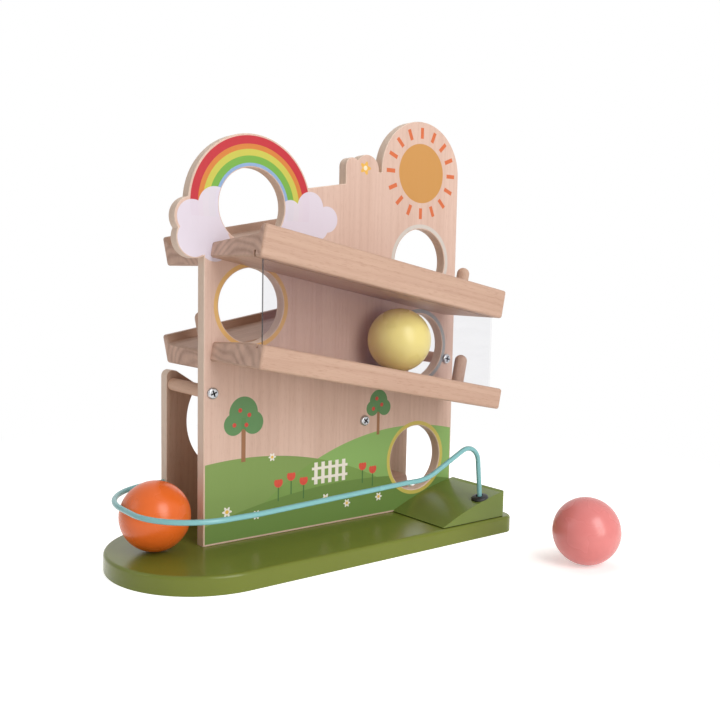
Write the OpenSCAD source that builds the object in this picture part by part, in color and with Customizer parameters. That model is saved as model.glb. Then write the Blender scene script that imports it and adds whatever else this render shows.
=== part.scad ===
// Ball track toy: balls roll down four sloping ramps on both sides of an upright
// panel, pass through round holes in it and run out over a wedge onto a board.
// Millimetres. Origin at the centre of the board's underside, X along the panel,
// front towards -Y, Z up.

/* [Base board] */
// length of the board from the round end to the square end
board_len = 338; // [334:1:370]
// distance of the panel's left edge from the board's round end
panel_in = 70; // [69:0.5:74]
// depth of the board, also the diameter of its round end
board_d = 144; // [140:1:156]
// thickness of the board
board_t = 14; // [13:1:20]
// radius of the two corners at the square end
board_corner_r = 12; // [6:1:20]
// rounding of the board's top edge
board_edge_r = 2.5; // [1:0.5:4]

/* [Balls] */
// diameter of each ball
ball_d = 52; // [46:0.5:52]
// clearance left under and beside a ball at rest
ball_gap = 0.3; // [0.2:0.1:0.6]
// place of the yellow ball along the front lower ramp, measured from the panel's left edge
yellow_x = 165; // [120:1:186]
// distance of the orange ball from the upright line it rolls round
orange_r = 32.6; // [32.5:0.1:33.1]
// angle of the orange ball from the panel's own line, towards the back
orange_angle = 15; // [0:0.5:30]
// place of the pink ball to the right of the board's middle
pink_x = 144.5; // [100:0.5:170]
// place of the pink ball in front of the board's middle line
pink_y = 166.5; // [120:1:200]

/* [Centre panel] */
// length of the centre panel
panel_w = 251.5; // [246:0.5:256]
// thickness of the centre panel
panel_t = 10; // [9:0.5:12]
// diameter of the ball holes
hole_d = 57; // [56:0.5:59]
// distance of the left holes from the panel's left edge
left_hole_x = 40.5; // [38:0.5:43]
// distance of the right holes from the panel's right edge
right_hole_in = 42.5; // [40:0.5:44]
// radius of the rainbow arch
arch_r = 53.2; // [50:0.2:56]
// radius of the sun head
sun_r = 43.5; // [38:0.5:46]
// height of the sun head's centre above the board
sun_z = 292.5; // [286:0.5:298]
// height of the lowest hole's centre above the board
outlet_z = 45.5; // [43:0.5:48]

/* [Back panel] */
// clear width of the channel between the panels
channel_w = 54; // [53:0.5:56]
// distance of the back panel's left edge to the right of the centre panel's
back_shift = 1.2; // [0:0.1:3]
// distance of the back panel's right edge past the centre panel's
back_past = 3.3; // [0:0.1:4]
// thickness of the back panel
back_t = 10; // [9:0.5:12]
// radius of the scoop in the back panel
scoop_r = 47; // [45:0.5:49]
// distance of the scoop's centre from the back panel's left edge
scoop_x = 65; // [64:0.5:68]
// height of the scoop's centre above the board
scoop_z = 85; // [80:0.5:88]
// height of the back panel's left post above the board
post_h = 127; // [122:0.1:132]
// height of the back panel's right shoulder above the board
shoulder_h = 144; // [140:0.5:148]
// height of the back panel's top between the scoop and the shoulder
back_mid_h = 100; // [92:0.5:104]

/* [Ramps] */
// slope of every ramp in degrees
slope = 10.8; // [10.5:0.1:11.5]
// length of a ramp along its slope
ramp_len = 239.5; // [234:0.5:242]
// depth of a ramp, from the panel to its outer edge
ramp_d = 69.4; // [66:0.2:72]
// distance of a front ramp's high end from the panel's left edge
ramp_in = 5; // [3:0.5:8]
// distance of a back ramp's high end from the panel's right edge
back_ramp_in = 7; // [4:0.5:9]
// height of the back upper ramp's underside at mid panel
back_upper_z = 231.2; // [228:0.1:233]
// height of the front upper ramp's underside at mid panel
front_upper_z = 192.9; // [190:0.1:195]
// height of the back lower ramp's underside at mid panel
back_lower_z = 153.4; // [151:0.1:156]
// height of the front lower ramp's underside at mid panel
front_lower_z = 116.7; // [113:0.1:118]
// height of an upper ramp's floor at the panel
upper_floor = 11.5; // [9.5:0.1:12]
// height of a lower ramp's floor at the panel
lower_floor = 14.7; // [13.5:0.1:15]
// rise of an upper ramp's floor from the panel to the rail
upper_rise = 5.7; // [3:0.1:7]
// rise of a lower ramp's floor from the panel outwards
lower_rise = 2.6; // [1:0.1:3.6]
// height of the rail above the floor beside it
rail_h = 6; // [4:0.5:8]
// width of the rail's top
rail_w = 5.9; // [4.5:0.1:7]
// rounding of a ramp's long edges
ramp_edge_r = 2.2; // [1:0.1:2.6]

/* [Pegs and window] */
// diameter of a stop peg
peg_d = 10.5; // [9:0.5:12]
// height of a stop peg above the floor beneath it
peg_h = 24; // [20:0.5:28]
// distance of a stop peg from the ramp's low end
peg_in = 19; // [18:0.5:23]
// distance of a stop peg's axis from the panel
peg_out = 34; // [32:0.5:38]
// thickness of the clear window
window_t = 2; // [1.5:0.1:3]
// distance of the window from the panel
window_out = 61; // [59:0.5:62]
// distance of the window's left edge from the panel's left edge
window_x0 = 12; // [10:0.5:16]
// length of the window
window_len = 224; // [210:0.5:226]

/* [Wedge and chute] */
// distance of the wedge from the panel to its front face
wedge_d = 64.5; // [64:0.5:66]
// place along the panel where the wedge's height and slope are given
wedge_at = 234.9; // [232:0.1:238]
// height of the wedge there
wedge_h = 18.2; // [16:0.1:19.5]
// slope of the wedge there in degrees
wedge_slope = 13.5; // [11:0.5:16]
// radius of the wedge's long curved top
wedge_r = 283; // [250:1:320]
// length of the wedge to the right of that place
wedge_past = 21; // [14:0.5:22]
// length of the chute between the panels
chute_len = 60; // [56:1:64]
// fall of the chute towards the outlet
chute_fall = 2.4; // [1:0.1:4]

/* [Wire guard] */
// diameter of the wire
wire_d = 4; // [3:0.1:4.5]
// distance of the wire's front run from the panel's middle line
wire_out = 63; // [61:0.5:64]
// height of the wire's round end above the board
wire_z = 36.5; // [36:0.5:40]
// distance of the wire's round end from the panel's left edge
wire_left = 60.5; // [60.5:0.5:63]
// rise of the front run from the round end to its level stretch
wire_rise = 5; // [2:0.1:6]
// slope of the wire where it climbs towards the wedge
wire_climb = 26; // [20:0.5:28]
// distance of the climb's foot from the panel's left edge
climb_x = 170; // [166:0.5:174]
// place of the grommet along the panel, from its left edge
grommet_x = 232; // [229:0.1:236]
// lean of the wire where it enters the wedge
wire_lean = 6; // [2:0.5:14]
// diameter of the grommet's flange
grommet_d = 14.5; // [12:0.5:16]

/* [Fasteners] */
// diameter of the spacer dowels
spacer_d = 10; // [9:0.5:12]
// diameter of the dowel pins in the ramps
pin_d = 5; // [4:0.5:6]
// diameter of a screw's shank
shank_d = 3.5; // [3:0.1:4]
// diameter of a screw's head
head_d = 8.7; // [7:0.1:9]

/* [Hidden] */
$fn = 64;
fit = 0.1;
slack = 0.3;
past = 1;
wood = [0.85, 0.71, 0.57];
print_wood = [0.86, 0.74, 0.60];
olive = [0.42, 0.47, 0.18];
ball_r = ball_d / 2;
hole_r = hole_d / 2;
board_r = board_d / 2;
round_x = board_r - board_len / 2;
panel_x0 = panel_in - board_len / 2;
front_y = -panel_t / 2;
rear_y = panel_t / 2;
back_y = rear_y + channel_w;
back_out_y = back_y + back_t;
mid_x = panel_w / 2;
right_hole_x = panel_w - right_hole_in;
sun_x = panel_w - sun_r;
back_w = panel_w + back_past - back_shift;
tilt_t = tan(slope);
tilt_c = cos(slope);
tilt_s = sin(slope);
ramp_s0 = (ramp_in - mid_x) / tilt_c;
ramp_s1 = ramp_s0 + ramp_len;
back_slip = (back_ramp_in - ramp_in) / tilt_c;
hole_step = 0.3;
arch_z = floor_z(back_upper_z, upper_floor, mid_x - left_hole_x) + hole_r - hole_step;
left_z = floor_z(back_lower_z, lower_floor, mid_x - left_hole_x) + hole_r - hole_step;
upper_z = floor_z(front_upper_z, upper_floor, right_hole_x - mid_x) + hole_r - hole_step;
middle_z = floor_z(front_lower_z, lower_floor, right_hole_x - mid_x) + hole_r - hole_step;
rail_foot = ramp_d - rail_w - rail_h / 2;
lip_foot = 45;
groove_w = window_t + 2 * slack;
groove_up = 4.8;
groove_down = 3;
lower_top = lower_floor + lower_rise;
peg_r = peg_d / 2;
peg_deep = 7;
pin_r = pin_d / 2;
pin_in_panel = 4.8;
pin_in_ramp = 18;
pin_s = [60, 180];
spacer_r = spacer_d / 2;
shank_r = shank_d / 2;
head_r = head_d / 2;
head_h = 2.6;
screw_in = 16;
// spacer places along the panel and above the board
spacers = [[7.1, 115.7], [150.8, 83.4], [panel_w - 9.2, 131.8]];
// the upright line that the orange ball rolls round, from the panel's left edge
orange_line = [-1.5, -1.1];
wedge_cx = wedge_at + wedge_r * sin(wedge_slope);
wedge_cz = wedge_h - wedge_r * cos(wedge_slope);
grommet_z = wedge_cz + sqrt(wedge_r * wedge_r - pow(wedge_cx - grommet_x, 2));
flange_tilt = asin((wedge_cx - grommet_x) / wedge_r);
wire_r = wire_d / 2;
wire_y = (back_y + back_out_y) / 2;
wire_seat = 12;
rear_bend = wire_left - 0.5;
front_bend = wire_left - 13;
wire_straight = wire_y + wire_out - rear_bend - front_bend;
rise_run = 138;
rise_a = atan(wire_rise / rise_run);
rise_r = 100;
level_z = wire_z + wire_rise;
climb_r = 45;
apex_r = 13;
climb_t = tan(wire_climb);
lean_t = tan(wire_lean);
apex_z = (level_z + climb_t * (grommet_x + lean_t * grommet_z - climb_x)) / (1 + climb_t * lean_t);
apex_x = grommet_x - lean_t * (apex_z - grommet_z);
apex_turn = wire_climb + 90 - wire_lean;
apex_cut = apex_r * tan(apex_turn / 2);
climb_cut = climb_r * tan(wire_climb / 2);
rise_cut = rise_r * tan(rise_a / 2);
lap = 0.5;
lead = 24;
climb_len = (apex_x - climb_x) / cos(wire_climb) - climb_cut - apex_cut;
wire_in = 13;
drop_len = (apex_z - grommet_z) / cos(wire_lean) - apex_cut + wire_in;
flange_h = 3;
flange_seat = 0.2;
flange_rim = 1.2;
stem_r = 4.5;
stem_h = 6;
wedge_tip = wedge_cx - sqrt(wedge_r * wedge_r - wedge_cz * wedge_cz);
wedge_nose = 1.6;
wedge_x1 = wedge_at + wedge_past;
wedge_corner_r = 4;
wedge_front = front_y - wedge_d;
chute_top = outlet_z - hole_r + hole_step;
chute_lead = 32;
chute_x0 = right_hole_x - chute_lead;
chute_x1 = chute_x0 + chute_len;
// the slanted cut at the chute's right end: where it starts along the panel and how deep it goes
chute_cut_x = right_hole_x + 2;
chute_cut_d = 33;
// screw places along the panels, from the wedge's given place and along the chute
board_screw_x = [30, 130, panel_w - 9];
wedge_screw_offsets = [[22, 18], [12, 40]];
chute_screw_steps = [15, 45];
wedge_screws_at = [for (p = wedge_screw_offsets) [wedge_at - p[0], front_y - p[1]]];
chute_screws_at = [for (p = chute_screw_steps) [chute_x0 + p, rear_y + channel_w / 2]];
csk_h = 2.4;
csk_seat = 0.4;
csk_rim = 0.2;
// the bump beside the sun head: its reach left of the head's centre and its two round corners
bump_reach = 80.6;
bump_low = 2.5;
bump_foot = 14.5;
bump_corner_r = 7;
bump_crown_r = 12;
bump_crown_x = 58.5;
bump_crown_z = 1.5;
// where the panel's top edge leaves the arch
dip_x = 51;
dip_up = 17;
// the two cloud lobes that stand out at the panel's left edge
lobe_upper = [-49.5, -10.2, 14.5];
lobe_lower = [-47.5, -25.2, 15];
// round corners of the back panel and the line that falls from its post
shoulder_r = 14;
shoulder_run = 58;
post_r = 5;
post_line = [[30, -14.5], [9, -0.8]];
// cross recess of a round-head screw
recess_w = 1.2;
recess_deep = 1.4;

// Height of a ramp's floor at the panel, a run to the low side of mid panel.
function floor_z(mid, floor_h, run) = mid - run * tilt_t + floor_h / tilt_c;

// Where the wire's front bend ends, left of the panel's edge.
function front_bend_x() = wire_left - front_bend;

// Points on a round corner.
function arc(cx, cy, r, a0, a1) = [
    for (i = [0 : 4]) [cx + r * cos(a0 + (a1 - a0) * i / 4), cy + r * sin(a0 + (a1 - a0) * i / 4)]
];

// Moves to the panel's left edge on top of the board.
module on_board() {
    translate([panel_x0, 0, board_t])
        children();
}

// A round bar through the panel's thickness, standing on the board at x, z.
module through(x, z, r, y0, y1) {
    translate([x, y0, z])
        rotate([-90, 0, 0])
            cylinder(r = r, h = y1 - y0);
}

// A flat plate cut from an outline of x, z points.
module plate(outline, y0, y1) {
    translate([0, y1, 0])
        rotate([90, 0, 0])
            linear_extrude(height = y1 - y0)
                polygon(outline);
}

// A bar along X with a section of y, z points.
module bar(section, x0, x1) {
    translate([x0, 0, 0])
        rotate([90, 0, 90])
            linear_extrude(height = x1 - x0)
                polygon(section);
}

// Base board
module board_ring(r, turn) {
    rotate_extrude(angle = turn)
        polygon(concat(
            [[0, 0], [r, 0]],
            arc(r - board_edge_r, board_t - board_edge_r, board_edge_r, 0, 90),
            [[0, board_t]]
        ));
}

module board_solid() {
    right = board_len / 2 - board_corner_r;
    half = board_r - board_edge_r;
    top = board_t - board_edge_r;
    translate([round_x, 0, 0])
        rotate([0, 0, 90])
            board_ring(board_r, 180);
    bar(concat(
        [[-board_r, 0], [board_r, 0]],
        arc(half, top, board_edge_r, 0, 90),
        arc(-half, top, board_edge_r, 90, 180)
    ), round_x, right);
    translate([right, board_r - board_corner_r, 0])
        board_ring(board_corner_r, 90);
    translate([right, board_corner_r - board_r, 0])
        rotate([0, 0, -90])
            board_ring(board_corner_r, 90);
    translate([right, board_r - board_corner_r, 0])
        rotate([90, 0, 0])
            linear_extrude(height = board_d - 2 * board_corner_r)
                polygon(concat(
                    [[0, 0], [board_corner_r, 0]],
                    arc(board_corner_r - board_edge_r, top, board_edge_r, 0, 90),
                    [[0, board_t]]
                ));
}

module base_board() {
    color(olive)
        difference() {
            board_solid();
            panel_screw_set(0, fit);
            panel_screw_set(wire_y, fit);
            loose_screw_set(wedge_screws_at, 6, fit);
            loose_screw_set(chute_screws_at, 8, fit);
        }
}

// Countersunk screw, head down, point up
module board_screw(grip, gap) {
    tip = board_t + grip;
    cylinder_from(gap > 0 ? -past : csk_seat, csk_seat + csk_rim, head_r + gap);
    translate([0, 0, csk_seat + csk_rim])
        cylinder(r1 = head_r + gap, r2 = shank_r + gap, h = csk_h);
    cylinder_from(csk_seat + csk_h, tip, shank_r + gap);
}

module cylinder_from(z0, z1, r) {
    translate([0, 0, z0])
        cylinder(r = r, h = z1 - z0);
}

module panel_screw_set(y, gap) {
    for (x = board_screw_x)
        translate([panel_x0 + x, y, 0])
            board_screw(screw_in, gap);
}

module loose_screw_set(places, grip, gap) {
    for (p = places)
        translate([panel_x0 + p[0], p[1], 0])
            board_screw(grip, gap);
}

module centre_panel_screws() {
    color([0.72, 0.73, 0.74])
        panel_screw_set(0, 0);
}

module back_panel_screws() {
    color([0.72, 0.73, 0.74])
        panel_screw_set(wire_y, 0);
}

module wedge_screws() {
    color([0.72, 0.73, 0.74])
        loose_screw_set(wedge_screws_at, 6, 0);
}

module chute_screws() {
    color([0.72, 0.73, 0.74])
        loose_screw_set(chute_screws_at, 8, 0);
}

// Centre panel
module centre_outline() {
    low_z = sun_z - bump_low;
    foot_z = sun_z - bump_foot;
    bump_x = sun_x - bump_reach;
    plate([
        [0, 0],
        [panel_w, 0],
        [panel_w, sun_z],
        [sun_x, sun_z],
        [sun_x, low_z],
        [bump_x, low_z],
        [bump_x, foot_z],
        [left_hole_x + dip_x, arch_z + dip_up],
        [left_hole_x, arch_z],
        [0, arch_z]
    ], front_y, rear_y);
    through(sun_x, sun_z, sun_r, front_y, rear_y);
    through(sun_x - bump_crown_x, sun_z - bump_crown_z, bump_crown_r, front_y, rear_y);
    through(bump_x + bump_corner_r, sun_z, bump_corner_r, front_y, rear_y);
    through(left_hole_x, arch_z, arch_r, front_y, rear_y);
    for (p = [lobe_upper, lobe_lower])
        through(left_hole_x + p[0], arch_z + p[1], p[2], front_y, rear_y);
}

module ball_hole(x, z) {
    through(x, z, hole_r, front_y - past, rear_y + past);
}

module centre_panel() {
    color(print_wood)
        difference() {
            on_board()
                centre_outline();
            on_board() {
                ball_hole(left_hole_x, arch_z);
                ball_hole(left_hole_x, left_z);
                ball_hole(right_hole_x, upper_z);
                ball_hole(right_hole_x, middle_z);
                ball_hole(right_hole_x, outlet_z);
                for (p = spacers)
                    through(p[0], p[1], shank_r + fit, front_y - past, rear_y + past);
            }
            panel_screw_set(0, fit);
            front_pin_set(front_upper_z, upper_floor, fit);
            front_pin_set(front_lower_z, lower_floor, fit);
            back_pin_set(back_upper_z, upper_floor, fit);
            back_pin_set(back_lower_z, lower_floor, fit);
        }
}

// Back panel
module back_outline() {
    plate([
        [0, 0],
        [back_w, 0],
        [back_w, shoulder_h - shoulder_r],
        [back_w - shoulder_r, shoulder_h],
        [back_w - 2 * shoulder_r, shoulder_h],
        [back_w - shoulder_run, back_mid_h],
        [scoop_x + scoop_r - 5, back_mid_h],
        [scoop_x, scoop_z],
        [post_line[0][0], post_h + post_line[0][1]],
        [post_line[1][0], post_h + post_line[1][1]],
        [post_r, post_h],
        [0, post_h - post_r]
    ], back_y, back_out_y);
    through(post_r, post_h - post_r, post_r, back_y, back_out_y);
    through(back_w - shoulder_r, shoulder_h - shoulder_r, shoulder_r, back_y, back_out_y);
}

module back_panel() {
    color(wood)
        difference() {
            on_board()
                translate([back_shift, 0, 0])
                    back_outline();
            on_board() {
                through(back_shift + scoop_x, scoop_z, scoop_r, back_y - past, back_out_y + past);
                for (p = spacers)
                    through(p[0], p[1], shank_r + fit, back_y - past, back_out_y + past);
                translate([-past, wire_y, wire_z])
                    rotate([0, 90, 0])
                        cylinder(r = wire_r + fit, h = wire_seat + past);
            }
            panel_screw_set(wire_y, fit);
        }
}

// Ramps. A section runs outwards from the panel and up from the ramp's underside.
function railed_section(floor_h, rise) = concat(
    [[0, 0]],
    arc(ramp_d - ramp_edge_r, ramp_edge_r, ramp_edge_r, -90, 0),
    arc(ramp_d - ramp_edge_r, floor_h + rise + rail_h - ramp_edge_r, ramp_edge_r, 0, 90),
    [
        [ramp_d - rail_w, floor_h + rise + rail_h],
        [rail_foot, floor_h + rise],
        [0, floor_h]
    ]
);

function open_section(floor_h, rise) = concat(
    [[0, 0]],
    arc(ramp_d - ramp_edge_r, ramp_edge_r, ramp_edge_r, -90, 0),
    arc(ramp_d - ramp_edge_r, floor_h + rise - ramp_edge_r, ramp_edge_r, 0, 90),
    [[lip_foot, floor_h + rise], [0, floor_h]]
);

// Carries a piece from a ramp's own frame to its place in front of the panel.
module front_side(mid) {
    translate([panel_x0 + mid_x, front_y, board_t + mid])
        rotate([0, slope, 0])
            mirror([0, 1, 0])
                children();
}

// Carries a piece from a ramp's own frame to its place behind the panel.
module back_side(mid) {
    translate([panel_x0 + mid_x, rear_y, board_t + mid])
        rotate([0, -slope, 0])
            mirror([1, 0, 0])
                translate([back_slip, 0, 0])
                    children();
}

// Height of the floor where the peg stands
function peg_floor(floor_h, rise, foot) = floor_h + rise * peg_out / foot;

module peg_solid(floor_h, rise, foot, gap) {
    seat = peg_floor(floor_h, rise, foot);
    dome = peg_r * 0.7;
    crown = peg_deep + peg_h - dome;
    translate([ramp_s1 - peg_in, peg_out, seat - peg_deep])
        rotate_extrude()
            polygon(concat(
                [[0, 0], [peg_r + gap, 0]],
                gap > 0 ? [[peg_r + gap, 2 * peg_deep], [0, 2 * peg_deep]] : concat(
                    [[peg_r, crown]],
                    [for (i = [1 : 5]) [peg_r * cos(i * 18), crown + dome * sin(i * 18)]]
                )
            ));
}

module pin_solid(floor_h, gap) {
    for (s = pin_s)
        translate([ramp_s0 + s, -pin_in_panel, floor_h / 2])
            rotate([-90, 0, 0])
                cylinder(r = pin_r + gap, h = pin_in_panel + pin_in_ramp);
}

module front_pin_set(mid, floor_h, gap) {
    front_side(mid)
        pin_solid(floor_h, gap);
}

module back_pin_set(mid, floor_h, gap) {
    back_side(mid)
        pin_solid(floor_h, gap);
}

module railed_ramp(floor_h, rise) {
    difference() {
        bar(railed_section(floor_h, rise), ramp_s0, ramp_s1);
        peg_solid(floor_h, rise, rail_foot, fit);
        pin_solid(floor_h, fit);
    }
}

module front_upper_ramp() {
    color(wood)
        front_side(front_upper_z)
            difference() {
                railed_ramp(upper_floor, upper_rise);
                translate([ramp_s0 - past, window_out - groove_w / 2, -past])
                    cube([ramp_len + 2 * past, groove_w, groove_up + past]);
            }
}

module front_lower_ramp() {
    color(wood)
        front_side(front_lower_z)
            difference() {
                bar(open_section(lower_floor, lower_rise), ramp_s0, ramp_s1);
                peg_solid(lower_floor, lower_rise, lip_foot, fit);
                pin_solid(lower_floor, fit);
                translate([ramp_s0 - past, window_out - groove_w / 2, lower_top - groove_down])
                    cube([ramp_len + 2 * past, groove_w, groove_down + past]);
            }
}

module back_upper_ramp() {
    color(wood)
        back_side(back_upper_z)
            railed_ramp(upper_floor, upper_rise);
}

module back_lower_ramp() {
    color(wood)
        back_side(back_lower_z)
            railed_ramp(lower_floor, lower_rise);
}

module front_upper_peg() {
    color(wood)
        front_side(front_upper_z)
            peg_solid(upper_floor, upper_rise, rail_foot, 0);
}

module front_lower_peg() {
    color(wood)
        front_side(front_lower_z)
            peg_solid(lower_floor, lower_rise, lip_foot, 0);
}

module back_upper_peg() {
    color(wood)
        back_side(back_upper_z)
            peg_solid(upper_floor, upper_rise, rail_foot, 0);
}

module back_lower_peg() {
    color(wood)
        back_side(back_lower_z)
            peg_solid(lower_floor, lower_rise, rail_foot, 0);
}

module front_upper_pins() {
    color(wood)
        front_pin_set(front_upper_z, upper_floor, 0);
}

module front_lower_pins() {
    color(wood)
        front_pin_set(front_lower_z, lower_floor, 0);
}

module back_upper_pins() {
    color(wood)
        back_pin_set(back_upper_z, upper_floor, 0);
}

module back_lower_pins() {
    color(wood)
        back_pin_set(back_lower_z, lower_floor, 0);
}

// Clear window, upright ends, its slanted edges in the ramps' grooves
function front_line(mid, h, x) = mid - (x - mid_x) * tilt_t + h / tilt_c;

module front_window() {
    low_h = lower_top - groove_down;
    high_h = groove_up - 2 * slack;
    x1 = window_x0 + window_len;
    color([0.80, 0.82, 0.90, 0.25])
        on_board()
            plate([
                [window_x0, front_line(front_lower_z, low_h, window_x0)],
                [x1, front_line(front_lower_z, low_h, x1)],
                [x1, front_line(front_upper_z, high_h, x1)],
                [window_x0, front_line(front_upper_z, high_h, window_x0)]
            ], front_y - window_out - window_t / 2, front_y - window_out + window_t / 2);
}

// Spacers between the panels
module spacer(p) {
    color(wood)
        on_board()
            difference() {
                through(p[0], p[1], spacer_r, rear_y, back_y);
                through(p[0], p[1], shank_r + fit, rear_y - past, rear_y + screw_in);
                through(p[0], p[1], shank_r + fit, back_y - screw_in, back_y + past);
            }
}

module left_spacer() {
    spacer(spacers[0]);
}

module middle_spacer() {
    spacer(spacers[1]);
}

module right_spacer() {
    spacer(spacers[2]);
}

// Round-head screw with a cross recess; the shank points along +Z from the head's seat
module spacer_screw(grip) {
    difference() {
        rotate_extrude()
            polygon(concat(
                [[0, grip], [0, -head_h]],
                [for (i = [1 : 4]) [head_r * sin(i * 18), -head_h + 1.8 * (1 - cos(i * 18))]],
                [[head_r, -head_h + 1.8], [head_r, 0], [shank_r, 0], [shank_r, grip]]
            ));
        translate([-head_r * 0.6, -recess_w / 2, -head_h - past])
            cube([head_r * 1.2, recess_w, past + recess_deep]);
        translate([-recess_w / 2, -head_r * 0.6, -head_h - past])
            cube([recess_w, head_r * 1.2, past + recess_deep]);
    }
}

module front_spacer_screws() {
    color([0.76, 0.77, 0.78])
        on_board()
            for (p = spacers)
                translate([p[0], front_y, p[1]])
                    rotate([-90, 0, 0])
                        spacer_screw(panel_t + screw_in);
}

module back_spacer_screws() {
    color([0.76, 0.77, 0.78])
        on_board()
            for (p = spacers)
                translate([p[0], back_out_y, p[1]])
                    rotate([90, 0, 0])
                        spacer_screw(back_t + screw_in);
}

// Outlet wedge with a long curved top
module wedge_body() {
    x0 = wedge_tip + wedge_nose;
    intersection() {
        translate([x0, wedge_front, 0])
            cube([wedge_x1 - x0, wedge_d, wedge_h + 30]);
        through(wedge_cx, wedge_cz, wedge_r, wedge_front - past, front_y + past, $fn = 240);
    }
}

// What is taken off the wedge's upright corner at the front right
module wedge_corner() {
    difference() {
        translate([wedge_x1 - wedge_corner_r, wedge_front - past, -past])
            cube([wedge_corner_r + past, wedge_corner_r + past, wedge_h + 30]);
        translate([wedge_x1 - wedge_corner_r, wedge_front + wedge_corner_r, -2 * past])
            cylinder(r = wedge_corner_r, h = wedge_h + 40);
    }
}

module outlet_wedge() {
    color(olive)
        difference() {
            on_board()
                difference() {
                    wedge_body();
                    wedge_corner();
                    at_grommet()
                        cylinder_from(-stem_h, flange_h, stem_r + fit);
                    at_grommet()
                        cylinder_from(-wire_in, flange_h, wire_r + fit);
                }
            loose_screw_set(wedge_screws_at, 6, fit);
        }
}

// Moves to the wire's entry in the wedge, Z up along the wire.
module at_grommet(lean = wire_lean) {
    translate([grommet_x, -wire_out, grommet_z])
        rotate([0, -lean, 0])
            children();
}

// The flange lies on the wedge's slope; the stem and the bore follow the wire.
module wire_grommet() {
    color([0.06, 0.06, 0.06])
        on_board()
            difference() {
                union() {
                    at_grommet()
                        cylinder_from(-stem_h, flange_rim, stem_r);
                    at_grommet(flange_tilt)
                        flange();
                }
                at_grommet()
                    cylinder_from(-stem_h - past, flange_h + past, wire_r + fit);
            }
}

module flange() {
    rim = grommet_d / 2;
    rotate_extrude()
        polygon([
            [0, flange_seat],
            [rim, flange_seat],
            [rim, flange_rim],
            [rim - 0.8, flange_rim + 0.9],
            [rim - 2.2, flange_rim + 1.6],
            [wire_r + 1, flange_h],
            [0, flange_h]
        ]);
}

// Low chute that turns a falling ball out through the lowest hole
module rear_chute() {
    color(wood)
        difference() {
            on_board()
                bar([
                    [rear_y, 0],
                    [back_y, 0],
                    [back_y, chute_top + chute_fall],
                    [rear_y, chute_top]
                ], chute_x0, chute_x1);
            on_board()
                chute_cut();
            loose_screw_set(chute_screws_at, 8, fit);
        }
}

// What is taken off the chute's right end
module chute_cut() {
    slant = (chute_x1 - chute_cut_x) / chute_cut_d;
    far_x = chute_x1 + slant * past;
    translate([0, 0, -past])
        linear_extrude(height = outlet_z)
            polygon([
                [chute_cut_x - slant * past, rear_y - past],
                [far_x, rear_y - past],
                [far_x, rear_y + chute_cut_d + past]
            ]);
}

// Wire guard, drawn from its end in the back panel. Each step carries on from the one before.
// A bend is a hair thinner than a straight run, and the run laps a little into it.
module run(l, lap0 = lap, lap1 = lap) {
    translate([-lap0, 0, 0])
        rotate([0, 90, 0])
            cylinder(r = wire_r, h = l + lap0 + lap1);
    translate([l, 0, 0])
        children();
}

module bend(r, a) {
    translate([0, r, 0])
        rotate([0, 0, -90])
            rotate_extrude(angle = a, $fn = 96)
                translate([r, 0])
                    circle(r = wire_r - 0.05);
    translate([0, r, 0])
        rotate([0, 0, a])
            translate([0, -r, 0])
                children();
}

module roll(a) {
    rotate([a, 0, 0])
        children();
}

module wire_guard() {
    color([0.50, 0.78, 0.80])
        on_board()
            translate([wire_seat, wire_y, wire_z])
                rotate([0, 0, 180])
                    run(wire_seat + wire_left - rear_bend, 0, lap)
                        bend(rear_bend, 90)
                            run(wire_straight)
                                bend(front_bend, 90)
                                    run(lead)
                                        wire_front();
}

module wire_front() {
    level = climb_x - climb_cut - (lead + rise_run + 2 * rise_cut - front_bend_x());
    roll(90)
        bend(rise_r, rise_a)
            run(rise_run / cos(rise_a) - 2 * rise_cut)
                roll(180)
                    bend(rise_r, rise_a)
                        roll(180)
                            run(level)
                                wire_end();
}

module wire_end() {
    bend(climb_r, wire_climb)
        run(climb_len)
            roll(180)
                bend(apex_r, apex_turn)
                    run(drop_len, lap, 0);
}

// Balls
module orange_ball() {
    color([0.90, 0.38, 0.13])
        on_board()
            translate([orange_line[0], orange_line[1], ball_r + ball_gap])
                rotate([0, 0, -orange_angle])
                    translate([-orange_r, 0, 0])
                        sphere(r = ball_r);
}

module yellow_ball() {
    side_tilt = atan(lower_rise / lip_foot);
    side = ball_r + ball_gap;
    lift = lower_floor + lower_rise * side / lip_foot + (ball_r + ball_gap) / cos(side_tilt);
    along = (yellow_x - mid_x - lift * tilt_s) / tilt_c;
    color([0.92, 0.80, 0.30])
        front_side(front_lower_z)
            translate([along, side, lift])
                sphere(r = ball_r);
}

module pink_ball() {
    color([0.88, 0.50, 0.50])
        translate([pink_x, -pink_y, ball_r])
            sphere(r = ball_r);
}

base_board();
centre_panel();
back_panel();
front_upper_ramp();
front_lower_ramp();
back_upper_ramp();
back_lower_ramp();
front_upper_peg();
front_lower_peg();
back_upper_peg();
back_lower_peg();
front_upper_pins();
front_lower_pins();
back_upper_pins();
back_lower_pins();
front_window();
left_spacer();
middle_spacer();
right_spacer();
front_spacer_screws();
back_spacer_screws();
outlet_wedge();
rear_chute();
wire_guard();
wire_grommet();
centre_panel_screws();
back_panel_screws();
wedge_screws();
chute_screws();
orange_ball();
yellow_ball();
pink_ball();
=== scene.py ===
"""Wooden ball track toy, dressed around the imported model.

Sizes are in millimetres, from the panel's left edge on top of the board; spot()
turns them into metres in the model's own frame. A ramp has its own frame: s down
its slope from mid panel, out from the panel's face, and up from its underside.
"""

import math

import bmesh
import bpy
from mathutils import Euler, Matrix, Vector


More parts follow.
